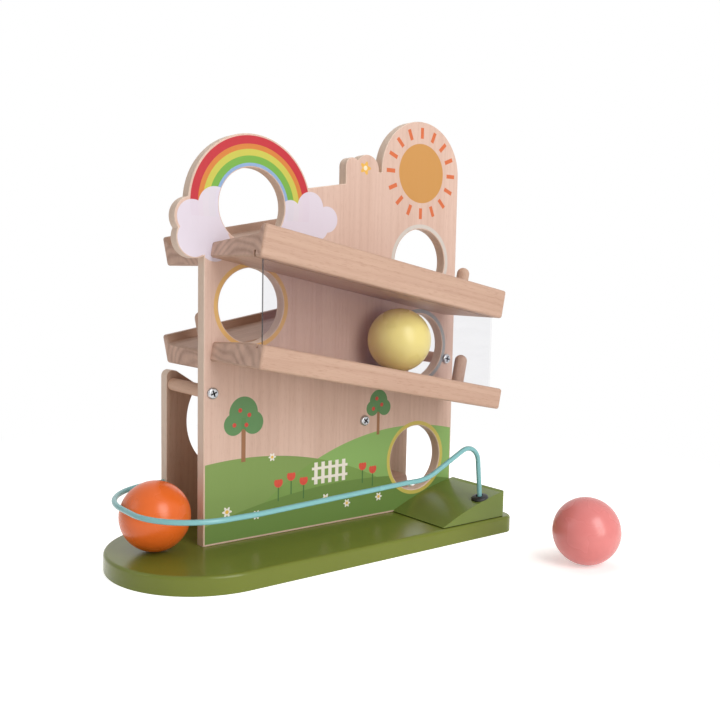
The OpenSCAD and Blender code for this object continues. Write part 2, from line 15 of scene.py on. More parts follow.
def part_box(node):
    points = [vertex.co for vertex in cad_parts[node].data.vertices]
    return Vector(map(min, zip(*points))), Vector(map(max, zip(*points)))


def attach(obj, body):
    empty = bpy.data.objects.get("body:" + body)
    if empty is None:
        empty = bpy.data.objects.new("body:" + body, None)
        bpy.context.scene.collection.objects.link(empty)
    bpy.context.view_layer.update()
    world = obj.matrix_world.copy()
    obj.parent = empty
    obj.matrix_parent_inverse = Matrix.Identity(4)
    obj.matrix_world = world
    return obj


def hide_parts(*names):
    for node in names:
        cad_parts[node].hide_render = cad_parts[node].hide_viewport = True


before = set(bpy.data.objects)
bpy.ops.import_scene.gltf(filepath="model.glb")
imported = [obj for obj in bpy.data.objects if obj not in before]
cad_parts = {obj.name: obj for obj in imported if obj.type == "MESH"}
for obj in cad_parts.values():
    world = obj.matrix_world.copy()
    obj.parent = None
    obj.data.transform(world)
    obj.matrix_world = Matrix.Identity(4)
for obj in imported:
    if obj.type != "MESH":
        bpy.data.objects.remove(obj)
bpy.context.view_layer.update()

# Units, and how near counts as one place: NEAR and SEAM in millimetres, the others in metres
MM = 0.001
IN_MM = (1000.0, 1000.0, 1000.0)
NEAR = 0.01
SEAM = 0.0001
TOUCH = 0.000001
MERGE = 0.000002
SHARP = math.radians(32)

# Board
BOARD_LEN = 338.0
BOARD_DEPTH = 144.0
BOARD_T = 14.0
BOARD_CORNER = 12.0
BOARD_EDGE = 2.5
BOARD_FOOT = 0.8
PANEL_IN = 70.0
PANEL_X = PANEL_IN - BOARD_LEN / 2

# Ramps
PANEL_W = 251.5
PANEL_T = 10.0
MID_X = PANEL_W / 2
SLOPE = math.radians(10.8)
RAMP_LEN = 239.5
RAMP_IN = 5.0
BACK_RAMP_IN = 7.0
RAMP_S0 = (RAMP_IN - MID_X) / math.cos(SLOPE)
RAMP_S1 = RAMP_S0 + RAMP_LEN
BACK_SLIP = (BACK_RAMP_IN - RAMP_IN) / math.cos(SLOPE)
RAMP_DEPTH = 69.4
RAMP_EDGE = 2.2
RAMP_END_EDGE = 3.2
RAIL_EDGE = 1.2
RAIL_W = 5.9
RAIL_H = 6.0
RAIL_FOOT = RAMP_DEPTH - RAIL_W - RAIL_H / 2
LIP_FOOT = 45.0
UPPER_FLOOR, UPPER_RISE = 11.5, 5.7
LOWER_FLOOR, LOWER_RISE = 14.7, 2.6
WINDOW_OUT = 61.0
WINDOW_X = (12.0, 236.0)
WINDOW_T = 2.0
WINDOW_SLACK = 0.6
WINDOW_EDGE = 0.25
GROOVE_W = 2.6
GROOVE_UP = 4.8
GROOVE_DOWN = 3.0
END_FACING = 0.9
END_HEART = {
    "front_upper": (RAMP_S0, 44.0, -34.0), "front_lower": (RAMP_S0, 12.0, -46.0),
    "back_upper": (RAMP_S0, 50.0, -30.0), "back_lower": (RAMP_S0, 24.0, -26.0)}
RAMP_Z = {"back_upper": 231.2, "front_upper": 192.9, "back_lower": 153.4, "front_lower": 116.7}

# Each ramp's floor at the panel, the floor's rise outwards, its rail and its groove for the window
RAMPS = {
    "front_upper": (UPPER_FLOOR, UPPER_RISE, True, "under"),
    "front_lower": (LOWER_FLOOR, LOWER_RISE, False, "over"),
    "back_upper": (UPPER_FLOOR, UPPER_RISE, True, None),
    "back_lower": (LOWER_FLOOR, LOWER_RISE, True, None),
}

# Panels
PANEL_EDGE = 0.9
EDGE_FACING = 0.8
HOLE_R = 28.5
HOLE_STEP = 0.3
HOLE_SIDES = 96
LEFT_X = 40.5
RIGHT_X = PANEL_W - 42.5


def hole_z(ramp, floor, run):
    """Height of a hole whose foot lies just under a ramp's floor, run beyond mid panel."""
    level = RAMP_Z[ramp] - run * math.tan(SLOPE) + floor / math.cos(SLOPE)
    return level + HOLE_R - HOLE_STEP


ARCH = (LEFT_X, hole_z("back_upper", UPPER_FLOOR, MID_X - LEFT_X))
LEFT_HOLE = (LEFT_X, hole_z("back_lower", LOWER_FLOOR, MID_X - LEFT_X))
UPPER_HOLE = (RIGHT_X, hole_z("front_upper", UPPER_FLOOR, RIGHT_X - MID_X))
MIDDLE_HOLE = (RIGHT_X, hole_z("front_lower", LOWER_FLOOR, RIGHT_X - MID_X))
OUTLET = (RIGHT_X, 45.5)
ARCH_R = 53.2
SUN_R = 43.5
SUN = (PANEL_W - SUN_R, 292.5)
NOTCH_Z = SUN[1] - 2.5
BUMP_X = SUN[0] - 80.6
BUMP_CORNER = (BUMP_X + 7.0, SUN[1], 7.0)
BUMP_CROWN = (SUN[0] - 58.5, SUN[1] - 1.5, 12.0)
LOBES = [(ARCH[0] - 49.5, ARCH[1] - 10.2, 14.5), (ARCH[0] - 47.5, ARCH[1] - 25.2, 15.0)]
DIP = (ARCH[0] + 51.0, ARCH[1] + 17.0)
BUMP_FOOT = SUN[1] - 14.5
ARCH_FOOT = 16.0
BACK_Y = 59.0
BACK_T = 10.0
BACK_SHIFT = 1.2
BACK_W = PANEL_W + 3.3 - BACK_SHIFT
SCOOP = (65.0, 85.0, 47.0)
SCOOP_END = -217.9
POST = (5.0, 122.0, 5.0)
POST_LINE = (9.0, 126.2)
SHOULDER = (BACK_W - 14.0, 130.0, 14.0)
SHOULDER_RUN = 58.0
BACK_MID = 100.0

# Pegs, spacers, wedge, wire
PEG_R = 5.25
PEG_H = 24.0
PEG_DOME = PEG_R * 0.95
PEG_DEEP = 7.0
PEG_OUT = 34.0
PEG_S = RAMP_S1 - 19.0
SPACER_R = 5.0
SPACERS = {"left": (7.1, 115.7), "middle": (150.8, 83.4), "right": (242.3, 131.8)}
SCREW_IN = 16.0
HEAD_R = 4.35
HEAD_H = 2.6
HEAD_CAP_R = 3.1
HEAD_ROUND = [(3.7, 0.2), (4.1, 0.6), (4.3, 1.1)]
SLOT_REACH = 2.6
SLOT_HALF = 0.62
SLOT_DEEP = 1.5
SHANK_R = 1.75
SHANK_TIP = 1.5
SCREW_TURNS = (20.0, 50.0, 75.0)
WEDGE_FRONT = -69.5
WEDGE_X = (184.6, 255.9)
WEDGE_R = 283.0
WEDGE_EDGE = 2.2
WEDGE_SEAM = 0.6
WEDGE_CORNER = 4.0
WEDGE_RIM = math.radians(40)
WEDGE_CENTRE = (300.97, -256.98)
CHUTE_X = (RIGHT_X - 32.0, RIGHT_X + 28.0)
CHUTE_CUT = (RIGHT_X + 2.0, 33.0)
CHUTE_Z = (17.3, 19.7)
CHUTE_EDGE = 1.2
GROMMET = (232.0, -63.0, 17.49)
FLANGE_TILT = math.asin((WEDGE_CENTRE[0] - GROMMET[0]) / WEDGE_R)
WIRE_R = 2.0
WIRE_END_X = 12.0
WIRE_LEFT = 60.5
REAR_BEND_X = -0.5
FRONT_BEND_X = -13.0
RISE_BEND = 100.0
CLIMB_BEND = 45.0
APEX_BEND = 13.0
WIRE_TAIL = 13.0
WIRE_Z = 36.5
WIRE_RISE = 5.0
RISE_RUN = 138.0
RISE_LEAD = 24.0
WIRE_LEAN = math.radians(6.0)
CLIMB_X = 170.0
CLIMB = math.radians(26.0)
BALL_R = 26.0


def spot(x, y, z):
    """A place in metres from sizes on the board in millimetres."""
    return Vector(((x + PANEL_X) * MM, y * MM, (z + BOARD_T) * MM))


def tint(red, green, blue):
    """A colour as a screen shows it, 0 to 255, as Blender's own values."""
    def straight(value):
        value /= 255.0
        return value / 12.92 if value <= 0.04045 else ((value + 0.055) / 1.055) ** 2.4
    return (straight(red), straight(green), straight(blue), 1.0)


# Finishes

class Bench:
    """A node tree with short calls for the nodes that the finishes use."""

    def __init__(self, tree):
        self.tree = tree

    def feed(self, socket, value):
        if isinstance(value, bpy.types.NodeSocket):
            self.tree.links.new(value, socket)
        else:
            socket.default_value = value

    def add(self, kind, values=None, **settings):
        node = self.tree.nodes.new("ShaderNode" + kind)
        for key, value in settings.items():
            setattr(node, key, value)
        for key, value in (values or {}).items():
            self.feed(node.inputs[key], value)
        return node

    def work(self, how, *values):
        node = self.add("Math", operation=how)
        for socket, value in zip(node.inputs, values):
            self.feed(socket, value)
        return node.outputs[0]

    def steer(self, how, *values):
        node = self.add("VectorMath", operation=how)
        for socket, value in zip(node.inputs, values):
            self.feed(socket, value)
        return node.outputs["Value" if how in ("DISTANCE", "LENGTH") else "Vector"]

    def blend(self, share, first, second):
        node = self.add("Mix", data_type="RGBA")
        for index, value in ((0, share), (6, first), (7, second)):
            self.feed(node.inputs[index], value)
        return node.outputs[2]

    def toned(self, colour, value):
        return self.add("HueSaturation", {"Color": colour, "Value": value}).outputs["Color"]

    def noise(self, place, scale, detail=2.0, rough=0.5):
        node = self.add("TexNoise", {
            "Vector": place, "Scale": scale, "Detail": detail, "Roughness": rough})
        return node.outputs["Fac"]

    def stretch(self, place, by):
        return self.steer("MULTIPLY", place, by)

    def split(self, place):
        return self.add("SeparateXYZ", {"Vector": place}).outputs

    def clamp(self, value):
        return self.add("Clamp", {"Value": value}).outputs["Result"]

    def span(self, value, low, high, first=0.0, last=1.0, ease="LINEAR"):
        """Carries the run of a value from low to high over to a run from first to last."""
        node = self.add("MapRange", {
            "Value": value, "From Min": low, "From Max": high,
            "To Min": first, "To Max": last}, interpolation_type=ease)
        return node.outputs["Result"]

    def lines(self, reach, gap, power):
        """Soft lines one gap apart along a distance; a higher power makes them narrower."""
        wave = self.work("SINE", self.work("MULTIPLY", reach, 2 * math.pi / gap))
        return self.work("POWER", self.work("MULTIPLY_ADD", wave, 0.5, 0.5), power)

    def deepen(self, depth, noise, middle, weight):
        """Adds a noise about its middle to a depth."""
        return self.work("MULTIPLY_ADD", self.work("SUBTRACT", noise, middle), weight, depth)

    def seen(self):
        """1 for rays that show the surface: direct, mirrored or through the window."""
        rays = self.add("LightPath").outputs
        direct = self.work("MAXIMUM", rays["Is Camera Ray"], rays["Is Glossy Ray"])
        return self.work("MAXIMUM", direct, rays["Is Transmission Ray"])

    def use(self, effect, **values):
        node = self.add("Group", node_tree=effect)
        for key, value in values.items():
            self.feed(node.inputs[key.replace("_", " ")], value)
        return node.outputs


KINDS = {"v": "NodeSocketVector", "c": "NodeSocketColor", "f": "NodeSocketFloat"}

# How far the patterns are drawn out, and the spacing of the wood's lines in millimetres
BAND_STRETCH = (0.035, 1.0, 1.0)
FIBRE_STRETCH = (0.014, 1.0, 1.0)
PORE_STRETCH = (0.11, 1.0, 1.0)
PAINT_STRETCH = (0.06, 1.0, 1.0)
WIPE_STRETCH = (0.3, 1.0, 1.0)
BRUSH_STRETCH = (1.0, 1.0, 0.1)
LINE_GAP = 7.0
LINE_WANDER = 46.0
RING_GAP = 6.8
RING_DRIFT = 14.0
STAVE_W = 0.0345
STAVE_SLIDE = (0.6, 0.09, 0.03)
STAVE_TONE = 0.07
PETAL_DEEP = 0.22
INK_EDGE = 0.12
INK_COVER = 0.95
INK_SKIN = 0.03


def new_effect(name, takes, gives):
    """A node group; takes and gives list socket names with v, c or f for the kind."""
    tree = bpy.data.node_groups.new(name, "ShaderNodeTree")
    for way, sockets in (("INPUT", takes), ("OUTPUT", gives)):
        for title, kind in sockets:
            tree.interface.new_socket(title, in_out=way, socket_type=KINDS[kind])
    source = tree.nodes.new("NodeGroupInput")
    target = tree.nodes.new("NodeGroupOutput")
    return tree, Bench(tree), source.outputs, target.inputs


def timber_effect():
    """Pale sawn wood with its grain along X: growth lines, fibres and slow bands."""
    tree, bench, source, target = new_effect(
        "timber_grain",
        [("Vector", "v"), ("Pale", "c"), ("Deep", "c"), ("Tone", "f")],
        [("Color", "c"), ("Roughness", "f"), ("Height", "f")])
    sized = bench.stretch(source["Vector"], IN_MM)
    drawn = bench.stretch(sized, BAND_STRETCH)
    wander = bench.noise(drawn, scale=0.045)
    bands = bench.noise(drawn, scale=0.10, detail=3.0)
    fibre = bench.noise(bench.stretch(sized, FIBRE_STRETCH), scale=2.0, detail=3.0, rough=0.6)
    pores = bench.span(bench.noise(bench.stretch(sized, PORE_STRETCH), scale=1.5), 0.56, 0.72)
    parts = bench.split(sized)
    across = bench.work("MULTIPLY_ADD", parts["Y"], 0.5, parts["Z"])
    across = bench.work("MULTIPLY_ADD", wander, LINE_WANDER, across)
    line = bench.lines(across, gap=LINE_GAP, power=2.0)
    depth = bench.work("MULTIPLY_ADD", line, 0.16, 0.12)
    depth = bench.deepen(depth, bands, middle=0.42, weight=0.9)
    depth = bench.deepen(depth, fibre, middle=0.45, weight=0.5)
    depth = bench.clamp(bench.work("MULTIPLY_ADD", pores, 0.34, depth))
    shade = bench.blend(depth, source["Pale"], source["Deep"])
    bench.feed(target["Color"], bench.toned(shade, bench.work("ADD", source["Tone"], 1.0)))
    bench.feed(target["Roughness"], bench.work("MULTIPLY_ADD", fibre, 0.16, 0.44))
    skin = bench.work("MULTIPLY_ADD", line, 0.35, fibre)
    bench.feed(target["Height"], bench.work("MULTIPLY_ADD", pores, -0.5, skin))
    return tree


def stave_effect():
    """Glued strips side by side along Z: each one's tone and its own stretch of grain."""
    tree, bench, source, target = new_effect(
        "glued_staves", [("Vector", "v"), ("Width", "f")], [("Vector", "v"), ("Tone", "f")])
    parts = bench.split(source["Vector"])
    count = bench.work("FLOOR", bench.work("DIVIDE", parts["Z"], source["Width"]))
    draw = bench.add("TexWhiteNoise", {"W": count}, noise_dimensions="1D").outputs
    slide = bench.stretch(draw["Color"], STAVE_SLIDE)
    bench.feed(target["Vector"], bench.steer("ADD", source["Vector"], slide))
    tone = bench.work("MULTIPLY_ADD", draw["Value"], STAVE_TONE, -STAVE_TONE / 2)
    bench.feed(target["Tone"], tone)
    return tree


def paint_effect():
    """Sprayed paint: a fine orange-peel skin, faint cloudiness and a trace of grain."""
    tree, bench, source, target = new_effect(
        "sprayed_paint",
        [("Vector", "v"), ("Paint", "c"), ("Gloss", "f")],
        [("Color", "c"), ("Roughness", "f"), ("Height", "f")])
    cloud = bench.noise(source["Vector"], scale=38.0)
    skin = bench.noise(source["Vector"], scale=900.0)
    grain = bench.noise(bench.stretch(source["Vector"], PAINT_STRETCH), scale=420.0)
    value = bench.work("MULTIPLY_ADD", cloud, 0.10, 0.95)
    bench.feed(target["Color"], bench.toned(source["Paint"], value))
    rough = bench.work("MULTIPLY_ADD", cloud, 0.08, source["Gloss"])
    bench.feed(target["Roughness"], rough)
    bench.feed(target["Height"], bench.work("MULTIPLY_ADD", grain, 0.5, skin))
    return tree


def disc_effect():
    """Distance of a printed point from a disc's rim, below zero inside it."""
    tree, bench, source, target = new_effect(
        "print_disc", [("Point", "v"), ("Centre", "v"), ("Radius", "f")], [("Shape", "f")])
    reach = bench.steer("DISTANCE", source["Point"], source["Centre"])
    bench.feed(target["Shape"], bench.work("SUBTRACT", reach, source["Radius"]))
    return tree


def bar_effect():
    """Distance of a printed point from an upright bar's edge, below zero inside it."""
    tree, bench, source, target = new_effect(
        "print_bar", [("Point", "v"), ("Centre", "v"), ("Half", "v")], [("Shape", "f")])
    gap = bench.steer("ABSOLUTE", bench.steer("SUBTRACT", source["Point"], source["Centre"]))
    parts = bench.split(bench.steer("SUBTRACT", gap, source["Half"]))
    bench.feed(target["Shape"], bench.work("MAXIMUM", parts["X"], parts["Z"]))
    return tree


def petal_effect():
    """Distance of a printed point from a flower with round petals, below zero inside it."""
    tree, bench, source, target = new_effect(
        "print_petals",
        [("Point", "v"), ("Centre", "v"), ("Radius", "f"), ("Petals", "f")], [("Shape", "f")])
    parts = bench.split(bench.steer("SUBTRACT", source["Point"], source["Centre"]))
    turn = bench.work("ARCTAN2", parts["Z"], parts["X"])
    lobe = bench.work("COSINE", bench.work("MULTIPLY", turn, source["Petals"]))
    share = bench.work("MULTIPLY_ADD", lobe, PETAL_DEEP, 1.0 - PETAL_DEEP)
    rim = bench.work("MULTIPLY", source["Radius"], share)
    reach = bench.steer("DISTANCE", source["Point"], source["Centre"])
    bench.feed(target["Shape"], bench.work("SUBTRACT", reach, rim))
    return tree


def ink_effect():
    """One printed colour over what lies under it, inside a shape."""
    tree, bench, source, target = new_effect(
        "print_ink",
        [("Under", "c"), ("Ink", "c"), ("Shape", "f"), ("Cover", "f")], [("Color", "c")])
    edge = bench.span(source["Shape"], -INK_EDGE, INK_EDGE, 1.0, 0.0)
    share = bench.work("MULTIPLY", edge, source["Cover"])
    bench.feed(target["Color"], bench.blend(share, source["Under"], source["Ink"]))
    return tree


TIMBER = timber_effect()
STAVES = stave_effect()
PAINT = paint_effect()
DISC = disc_effect()
BAR = bar_effect()
PETALS = petal_effect()
INK = ink_effect()

# Pale and deep tones of the woods
PANEL_TONES = (tint(219, 190, 176), tint(196, 161, 144))
RAMP_TONES = (tint(200, 168, 149), tint(168, 132, 112))
EDGE_TONES = (tint(236, 216, 200), tint(212, 184, 164))
# The rear panel's tones, darker and greener than the front panel's: painted shade and painted green
# bounce from the board
REAR_PAINTED_SHADE_TONES = (tint(196, 167, 148), tint(164, 133, 113))
DOWEL_TONES = (tint(224, 188, 164), tint(196, 154, 128))
STOP_TONES = (tint(210, 180, 161), tint(178, 143, 122))
END_TONES = (tint(220, 188, 171), tint(160, 126, 112))
UPRIGHT = (0.0, math.pi / 2, 0.0)


def new_finish(name):
    """A material with its bench, its shader and the piece's own coordinates."""
    material = bpy.data.materials.new(name)
    material.use_nodes = True
    bench = Bench(material.node_tree)
    shader = material.node_tree.nodes["Principled BSDF"]
    place = bench.add("TexCoord").outputs["Object"]
    return material, bench, shader, place


def raise_skin(bench, shader, height, depth, strength=0.5):
    bump = bench.add("Bump", {"Height": height, "Distance": depth, "Strength": strength})
    bench.feed(shader.inputs["Normal"], bump.outputs["Normal"])


def bare_wood(name, turn, move=(0.0, 0.0, 0.0), staves=False, tones=RAMP_TONES):
    """Sanded, unpainted wood; turn lays the grain along the piece."""
    material, bench, shader, place = new_finish(name)
    laid = bench.add("Mapping", {"Vector": place, "Rotation": turn, "Location": move}).outputs[0]
    tone = 0.0
    if staves:
        strips = bench.use(STAVES, Vector=laid, Width=STAVE_W)
        laid, tone = strips["Vector"], strips["Tone"]
    grain = bench.use(TIMBER, Vector=laid, Pale=tones[0], Deep=tones[1], Tone=tone)
    bench.feed(shader.inputs["Base Color"], grain["Color"])
    bench.feed(shader.inputs["Roughness"], grain["Roughness"])
    shader.inputs["Specular IOR Level"].default_value = 0.35
    raise_skin(bench, shader, grain["Height"], depth=0.00008)
    return material, bench, shader, place, grain["Color"]


def end_grain(name, turn, heart):
    """A sawn end: growth rings round a heart that lies outside the piece, patches and pores."""
    material, bench, shader, place = new_finish(name)
    laid = bench.add("Mapping", {"Vector": place, "Rotation": turn}).outputs[0]
    away = bench.steer("SUBTRACT", laid, Euler(turn).to_matrix() @ heart)
    away = bench.stretch(away, (0.0, *IN_MM[1:]))
    patch = bench.noise(away, scale=0.09, detail=3.0)
    drift = bench.noise(away, scale=0.04, detail=0.0)
    pores = bench.noise(away, scale=1.3)
    reach = bench.work("MULTIPLY_ADD", drift, RING_DRIFT, bench.steer("LENGTH", away))
    ring = bench.lines(reach, gap=RING_GAP, power=1.6)
    depth = bench.work("MULTIPLY_ADD", ring, 0.36, 0.1)
    depth = bench.deepen(depth, patch, middle=0.45, weight=1.0)
    depth = bench.clamp(bench.deepen(depth, pores, middle=0.45, weight=0.5))
    bench.feed(shader.inputs["Base Color"], bench.blend(depth, *END_TONES))
    bench.feed(shader.inputs["Roughness"], bench.work("MULTIPLY_ADD", pores, 0.15, 0.55))
    shader.inputs["Specular IOR Level"].default_value = 0.25
    raise_skin(bench, shader, pores, depth=0.00006)
    return material


def painted(name, paint, gloss, specular=0.5, depth=0.00003):
    material, bench, shader, place = new_finish(name)
    skin = bench.use(PAINT, Vector=place, Paint=paint, Gloss=gloss)
    bench.feed(shader.inputs["Base Color"], skin["Color"])
    bench.feed(shader.inputs["Roughness"], skin["Roughness"])
    shader.inputs["Specular IOR Level"].default_value = specular
    raise_skin(bench, shader, skin["Height"], depth)
    return material


class Print:
    """The picture on the panel's front, laid down one colour after another."""

    def __init__(self, bench, place, wood):
        self.bench = bench
        self.colour = wood
        sized = bench.stretch(place, IN_MM)
        deck = bench.steer("SUBTRACT", sized, (PANEL_X, 0.0, BOARD_T))
        self.point = bench.stretch(deck, (1.0, 0.0, 1.0))
        parts = bench.split(deck)
        self.z = parts["Z"]
        front = bench.work("LESS_THAN", parts["Y"], -PANEL_T / 2 + INK_SKIN)
        self.cover = bench.work("MULTIPLY", front, INK_COVER)

    def disc(self, x, z, radius):
        return self.bench.use(DISC, Point=self.point, Centre=(x, 0, z), Radius=radius)["Shape"]

    def bar(self, x, z, half_w, half_h):
        return self.bench.use(
            BAR, Point=self.point, Centre=(x, 0, z), Half=(half_w, 0, half_h))["Shape"]

    def petals(self, x, z, radius, count):
        return self.bench.use(
            PETALS, Point=self.point, Centre=(x, 0, z), Radius=radius, Petals=count)["Shape"]

    def join(self, *shapes):
        whole = shapes[0]
        for shape in shapes[1:]:
            whole = self.bench.work("MINIMUM", whole, shape)
        return whole

    def within(self, *shapes):
        whole = shapes[0]
        for shape in shapes[1:]:
            whole = self.bench.work("MAXIMUM", whole, shape)
        return whole

    def lay(self, ink, shape):
        self.colour = self.bench.use(
            INK, Under=self.colour, Ink=ink, Shape=shape, Cover=self.cover)["Color"]


RAINBOW = [
    (51.7, tint(186, 10, 40)),
    (45.6, tint(206, 128, 56)),
    (41.8, tint(194, 194, 82)),
    (37.0, tint(108, 168, 68)),
    (31.7, tint(140, 168, 212)),
]
RAINBOW_FOOT = 245.2
LEFT_CLOUD = [
    (-9.2, 244.3, 12.4), (9.0, 253.1, 14.0), (-8.5, 228.6, 13.3), (9.0, 225.6, 13.0),
    (5.0, 239.1, 16.0)]
RIGHT_CLOUD = [
    (74.5, 252.1, 9.3), (93.0, 256.7, 12.2), (109.0, 248.3, 10.3), (92.0, 244.1, 13.0),
    (78.0, 244.1, 11.0), (101.0, 241.1, 9.0), (70.0, 241.1, 8.0)]
RINGS = [
    (LEFT_HOLE, tint(224, 180, 110)),
    (UPPER_HOLE, tint(206, 200, 194)),
    (MIDDLE_HOLE, tint(160, 166, 168)),
    (OUTLET, tint(204, 188, 94)),
]
RING_W = 4.0
HILLS = [
    ((196.0, -160.0, 235.0), tint(132, 176, 96)),
    ((36.0, -226.0, 290.0), tint(120, 152, 78)),
    ((140.0, -482.0, 516.0), tint(104, 134, 66)),
]
TREES = [
    ((34.0, 78.0, 1.9, 17.0), [(34.0, 99.0, 12.5), (25.5, 90.5, 8.5), (42.5, 91.0, 9.0)]),
    ((166.0, 82.0, 1.5, 12.0), [(166.0, 99.0, 9.5), (159.5, 93.0, 6.5), (172.5, 93.0, 6.8)]),
]
FRUITS = [
    (31.0, 101.0), (39.0, 97.0), (26.0, 90.0), (36.5, 89.5), (164.0, 101.0), (169.5, 95.5),
    (160.5, 92.5)]
FRUIT_R = 1.7
TULIPS = [(66.0, 40.0), (78.0, 44.0), (90.0, 39.0), (150.0, 44.0), (161.0, 40.0)]
STEM_HALF = (0.6, 7.0)
TULIP_TIPS = (-2.4, 0.0, 2.4)
DAISIES = [
    (20.0, 24.0, 4.2), (46.0, 18.0, 3.8), (112.0, 22.0, 4.2), (134.0, 15.0, 3.6),
    (168.0, 16.0, 3.8), (60.0, 62.0, 3.4)]
DAISY_EYE = 0.36
FENCE = [(x, 44.0, 1.7, 9.0) for x in (102.0, 109.0, 116.0, 123.0, 130.0)]
FENCE += [(116.0, z, 18.0, 1.1) for z in (40.0, 48.0)]
FIELD = (PANEL_W / 2, 60.0, PANEL_W / 2 - 1.2, 58.4)
BUMP_FLOWER = (147.0, 292.0)
SUN_DISC_R = 25.0
RAYS = 16
RAY_HALF = 1.7
RAY_MID = 34.0
RAY_REACH = 4.6
INKS = {
    "sun": tint(196, 142, 72), "ray": tint(206, 102, 54), "cloud": tint(218, 211, 226),
    "trunk": tint(150, 104, 70), "crown": tint(84, 138, 84), "fruit": tint(206, 66, 58),
    "fence": tint(238, 232, 224), "stem": tint(70, 110, 60), "tulip": tint(214, 74, 62),
    "daisy": tint(240, 236, 230), "daisy_eye": tint(230, 184, 70),
    "bump_flower": tint(226, 176, 74), "bump_eye": tint(238, 226, 200),
}


def lay_sun(sheet):
    """A plain disc and straight rays of one width round it."""
    bench = sheet.bench
    centre = (SUN[0], 0.0, SUN[1])
    sheet.lay(INKS["sun"], sheet.disc(*SUN, SUN_DISC_R))
    parts = bench.split(bench.steer("SUBTRACT", sheet.point, centre))
    turn = bench.work("ARCTAN2", parts["Z"], parts["X"])
    share = bench.work("FRACT", bench.work("MULTIPLY_ADD", turn, RAYS / (2 * math.pi), 0.5))
    reach = bench.steer("DISTANCE", sheet.point, centre)
    aside = bench.work("ABSOLUTE", bench.work("SUBTRACT", share, 0.5))
    aside = bench.work("MULTIPLY", bench.work("MULTIPLY", aside, reach), 2 * math.pi / RAYS)
    width = bench.work("SUBTRACT", aside, RAY_HALF)
    along = bench.work("ABSOLUTE", bench.work("SUBTRACT", reach, RAY_MID))
    sheet.lay(INKS["ray"], sheet.within(width, bench.work("SUBTRACT", along, RAY_REACH)))


def lay_rainbow(sheet):
    """Bands round the arch hole down to the clouds at their feet."""
    low = sheet.bench.work("SUBTRACT", RAINBOW_FOOT, sheet.z)
    for radius, ink in RAINBOW:
        sheet.lay(ink, sheet.within(sheet.disc(*ARCH, radius), low))
    for cloud in (LEFT_CLOUD, RIGHT_CLOUD):
        sheet.lay(INKS["cloud"], sheet.join(*[sheet.disc(*lobe) for lobe in cloud]))


def tulip_bloom(sheet, x, z):
    """A round cup, cut off level, with three tips."""
    level = sheet.bench.work("SUBTRACT", sheet.z, z + 2.2)
    cup = sheet.within(sheet.disc(x, z + 1.0, 4.0), level)
    return sheet.join(cup, *[sheet.disc(x + aside, z + 2.0, 1.5) for aside in TULIP_TIPS])


def lay_meadow(sheet):
    """Hills, trees with fruit, a fence, tulips and daisies."""
    def lay_all(ink, shapes):
        sheet.lay(INKS[ink], sheet.join(*shapes))

    field = sheet.bar(*FIELD)
    for hill, ink in HILLS:
        sheet.lay(ink, sheet.within(sheet.disc(*hill), field))
    for trunk, crown in TREES:
        sheet.lay(INKS["trunk"], sheet.bar(*trunk))
        lay_all("crown", [sheet.disc(*lobe) for lobe in crown])
    lay_all("fruit", [sheet.disc(x, z, FRUIT_R) for x, z in FRUITS])
    lay_all("fence", [sheet.bar(*slat) for slat in FENCE])
    lay_all("stem", [sheet.bar(x, z - STEM_HALF[1], *STEM_HALF) for x, z in TULIPS])
    lay_all("tulip", [tulip_bloom(sheet, x, z) for x, z in TULIPS])
    lay_all("daisy", [sheet.petals(*daisy, 6.0) for daisy in DAISIES])
    lay_all("daisy_eye", [sheet.disc(x, z, r * DAISY_EYE) for x, z, r in DAISIES])


def printed_wood():
    """The panel's wood with the picture printed on its front."""
    material, bench, shader, place, wood = bare_wood(
        "printed_panel_wood", UPRIGHT, staves=True, tones=PANEL_TONES)
    sheet = Print(bench, place, wood)
    lay_sun(sheet)
    lay_rainbow(sheet)
    lay_meadow(sheet)
    for hole, ink in RINGS:
        sheet.lay(ink, sheet.disc(*hole, HOLE_R + RING_W))
    sheet.lay(INKS["bump_flower"], sheet.petals(*BUMP_FLOWER, 5.6, 5.0))
    sheet.lay(INKS["bump_eye"], sheet.disc(*BUMP_FLOWER, 1.9))
    bench.feed(shader.inputs["Base Color"], sheet.colour)
    return material


def clear_sheet(name, colour, cover, rough):
    """Clear plastic with faint wiping marks."""
    material, bench, shader, place = new_finish(name)
    marks = bench.noise(bench.stretch(place, WIPE_STRETCH), scale=160.0, detail=3.0)
    shader.inputs["Base Color"].default_value = colour
    shader.inputs["IOR"].default_value = 1.49
    bench.feed(shader.inputs["Roughness"], bench.work("MULTIPLY_ADD", marks, 0.08, rough))
    bench.feed(shader.inputs["Alpha"], bench.work("MULTIPLY_ADD", marks, 0.04, cover))
    return material


def plated_steel(name, dull, bright):
    """Zinc plate: finely brushed and a little cloudy."""
    material, bench, shader, place = new_finish(name)
    cloud = bench.noise(place, scale=300.0, detail=3.0)
    scratch = bench.noise(bench.stretch(place, BRUSH_STRETCH), scale=2600.0)
    bench.feed(shader.inputs["Base Color"], bench.blend(cloud, dull, bright))
    shader.inputs["Metallic"].default_value = 1.0
    bench.feed(shader.inputs["Roughness"], bench.work("MULTIPLY_ADD", cloud, 0.22, 0.2))
    raise_skin(bench, shader, scratch, depth=0.00002, strength=0.4)
    return material


def black_plastic():
    material, bench, shader, place = new_finish("black_plastic")
    speckle = bench.noise(place, scale=1500.0)
    shade = bench.blend(speckle, tint(22, 22, 23), tint(38, 38, 40))
    bench.feed(shader.inputs["Base Color"], shade)
    bench.feed(shader.inputs["Roughness"], bench.work("MULTIPLY_ADD", speckle, 0.15, 0.36))
    raise_skin(bench, shader, speckle, depth=0.00003)
    return material


FRONT_LAY = (0.0, -SLOPE, 0.0)
BACK_LAY = (0.0, SLOPE, 0.0)
TURNED = (0.0, 0.0, math.pi / 2)

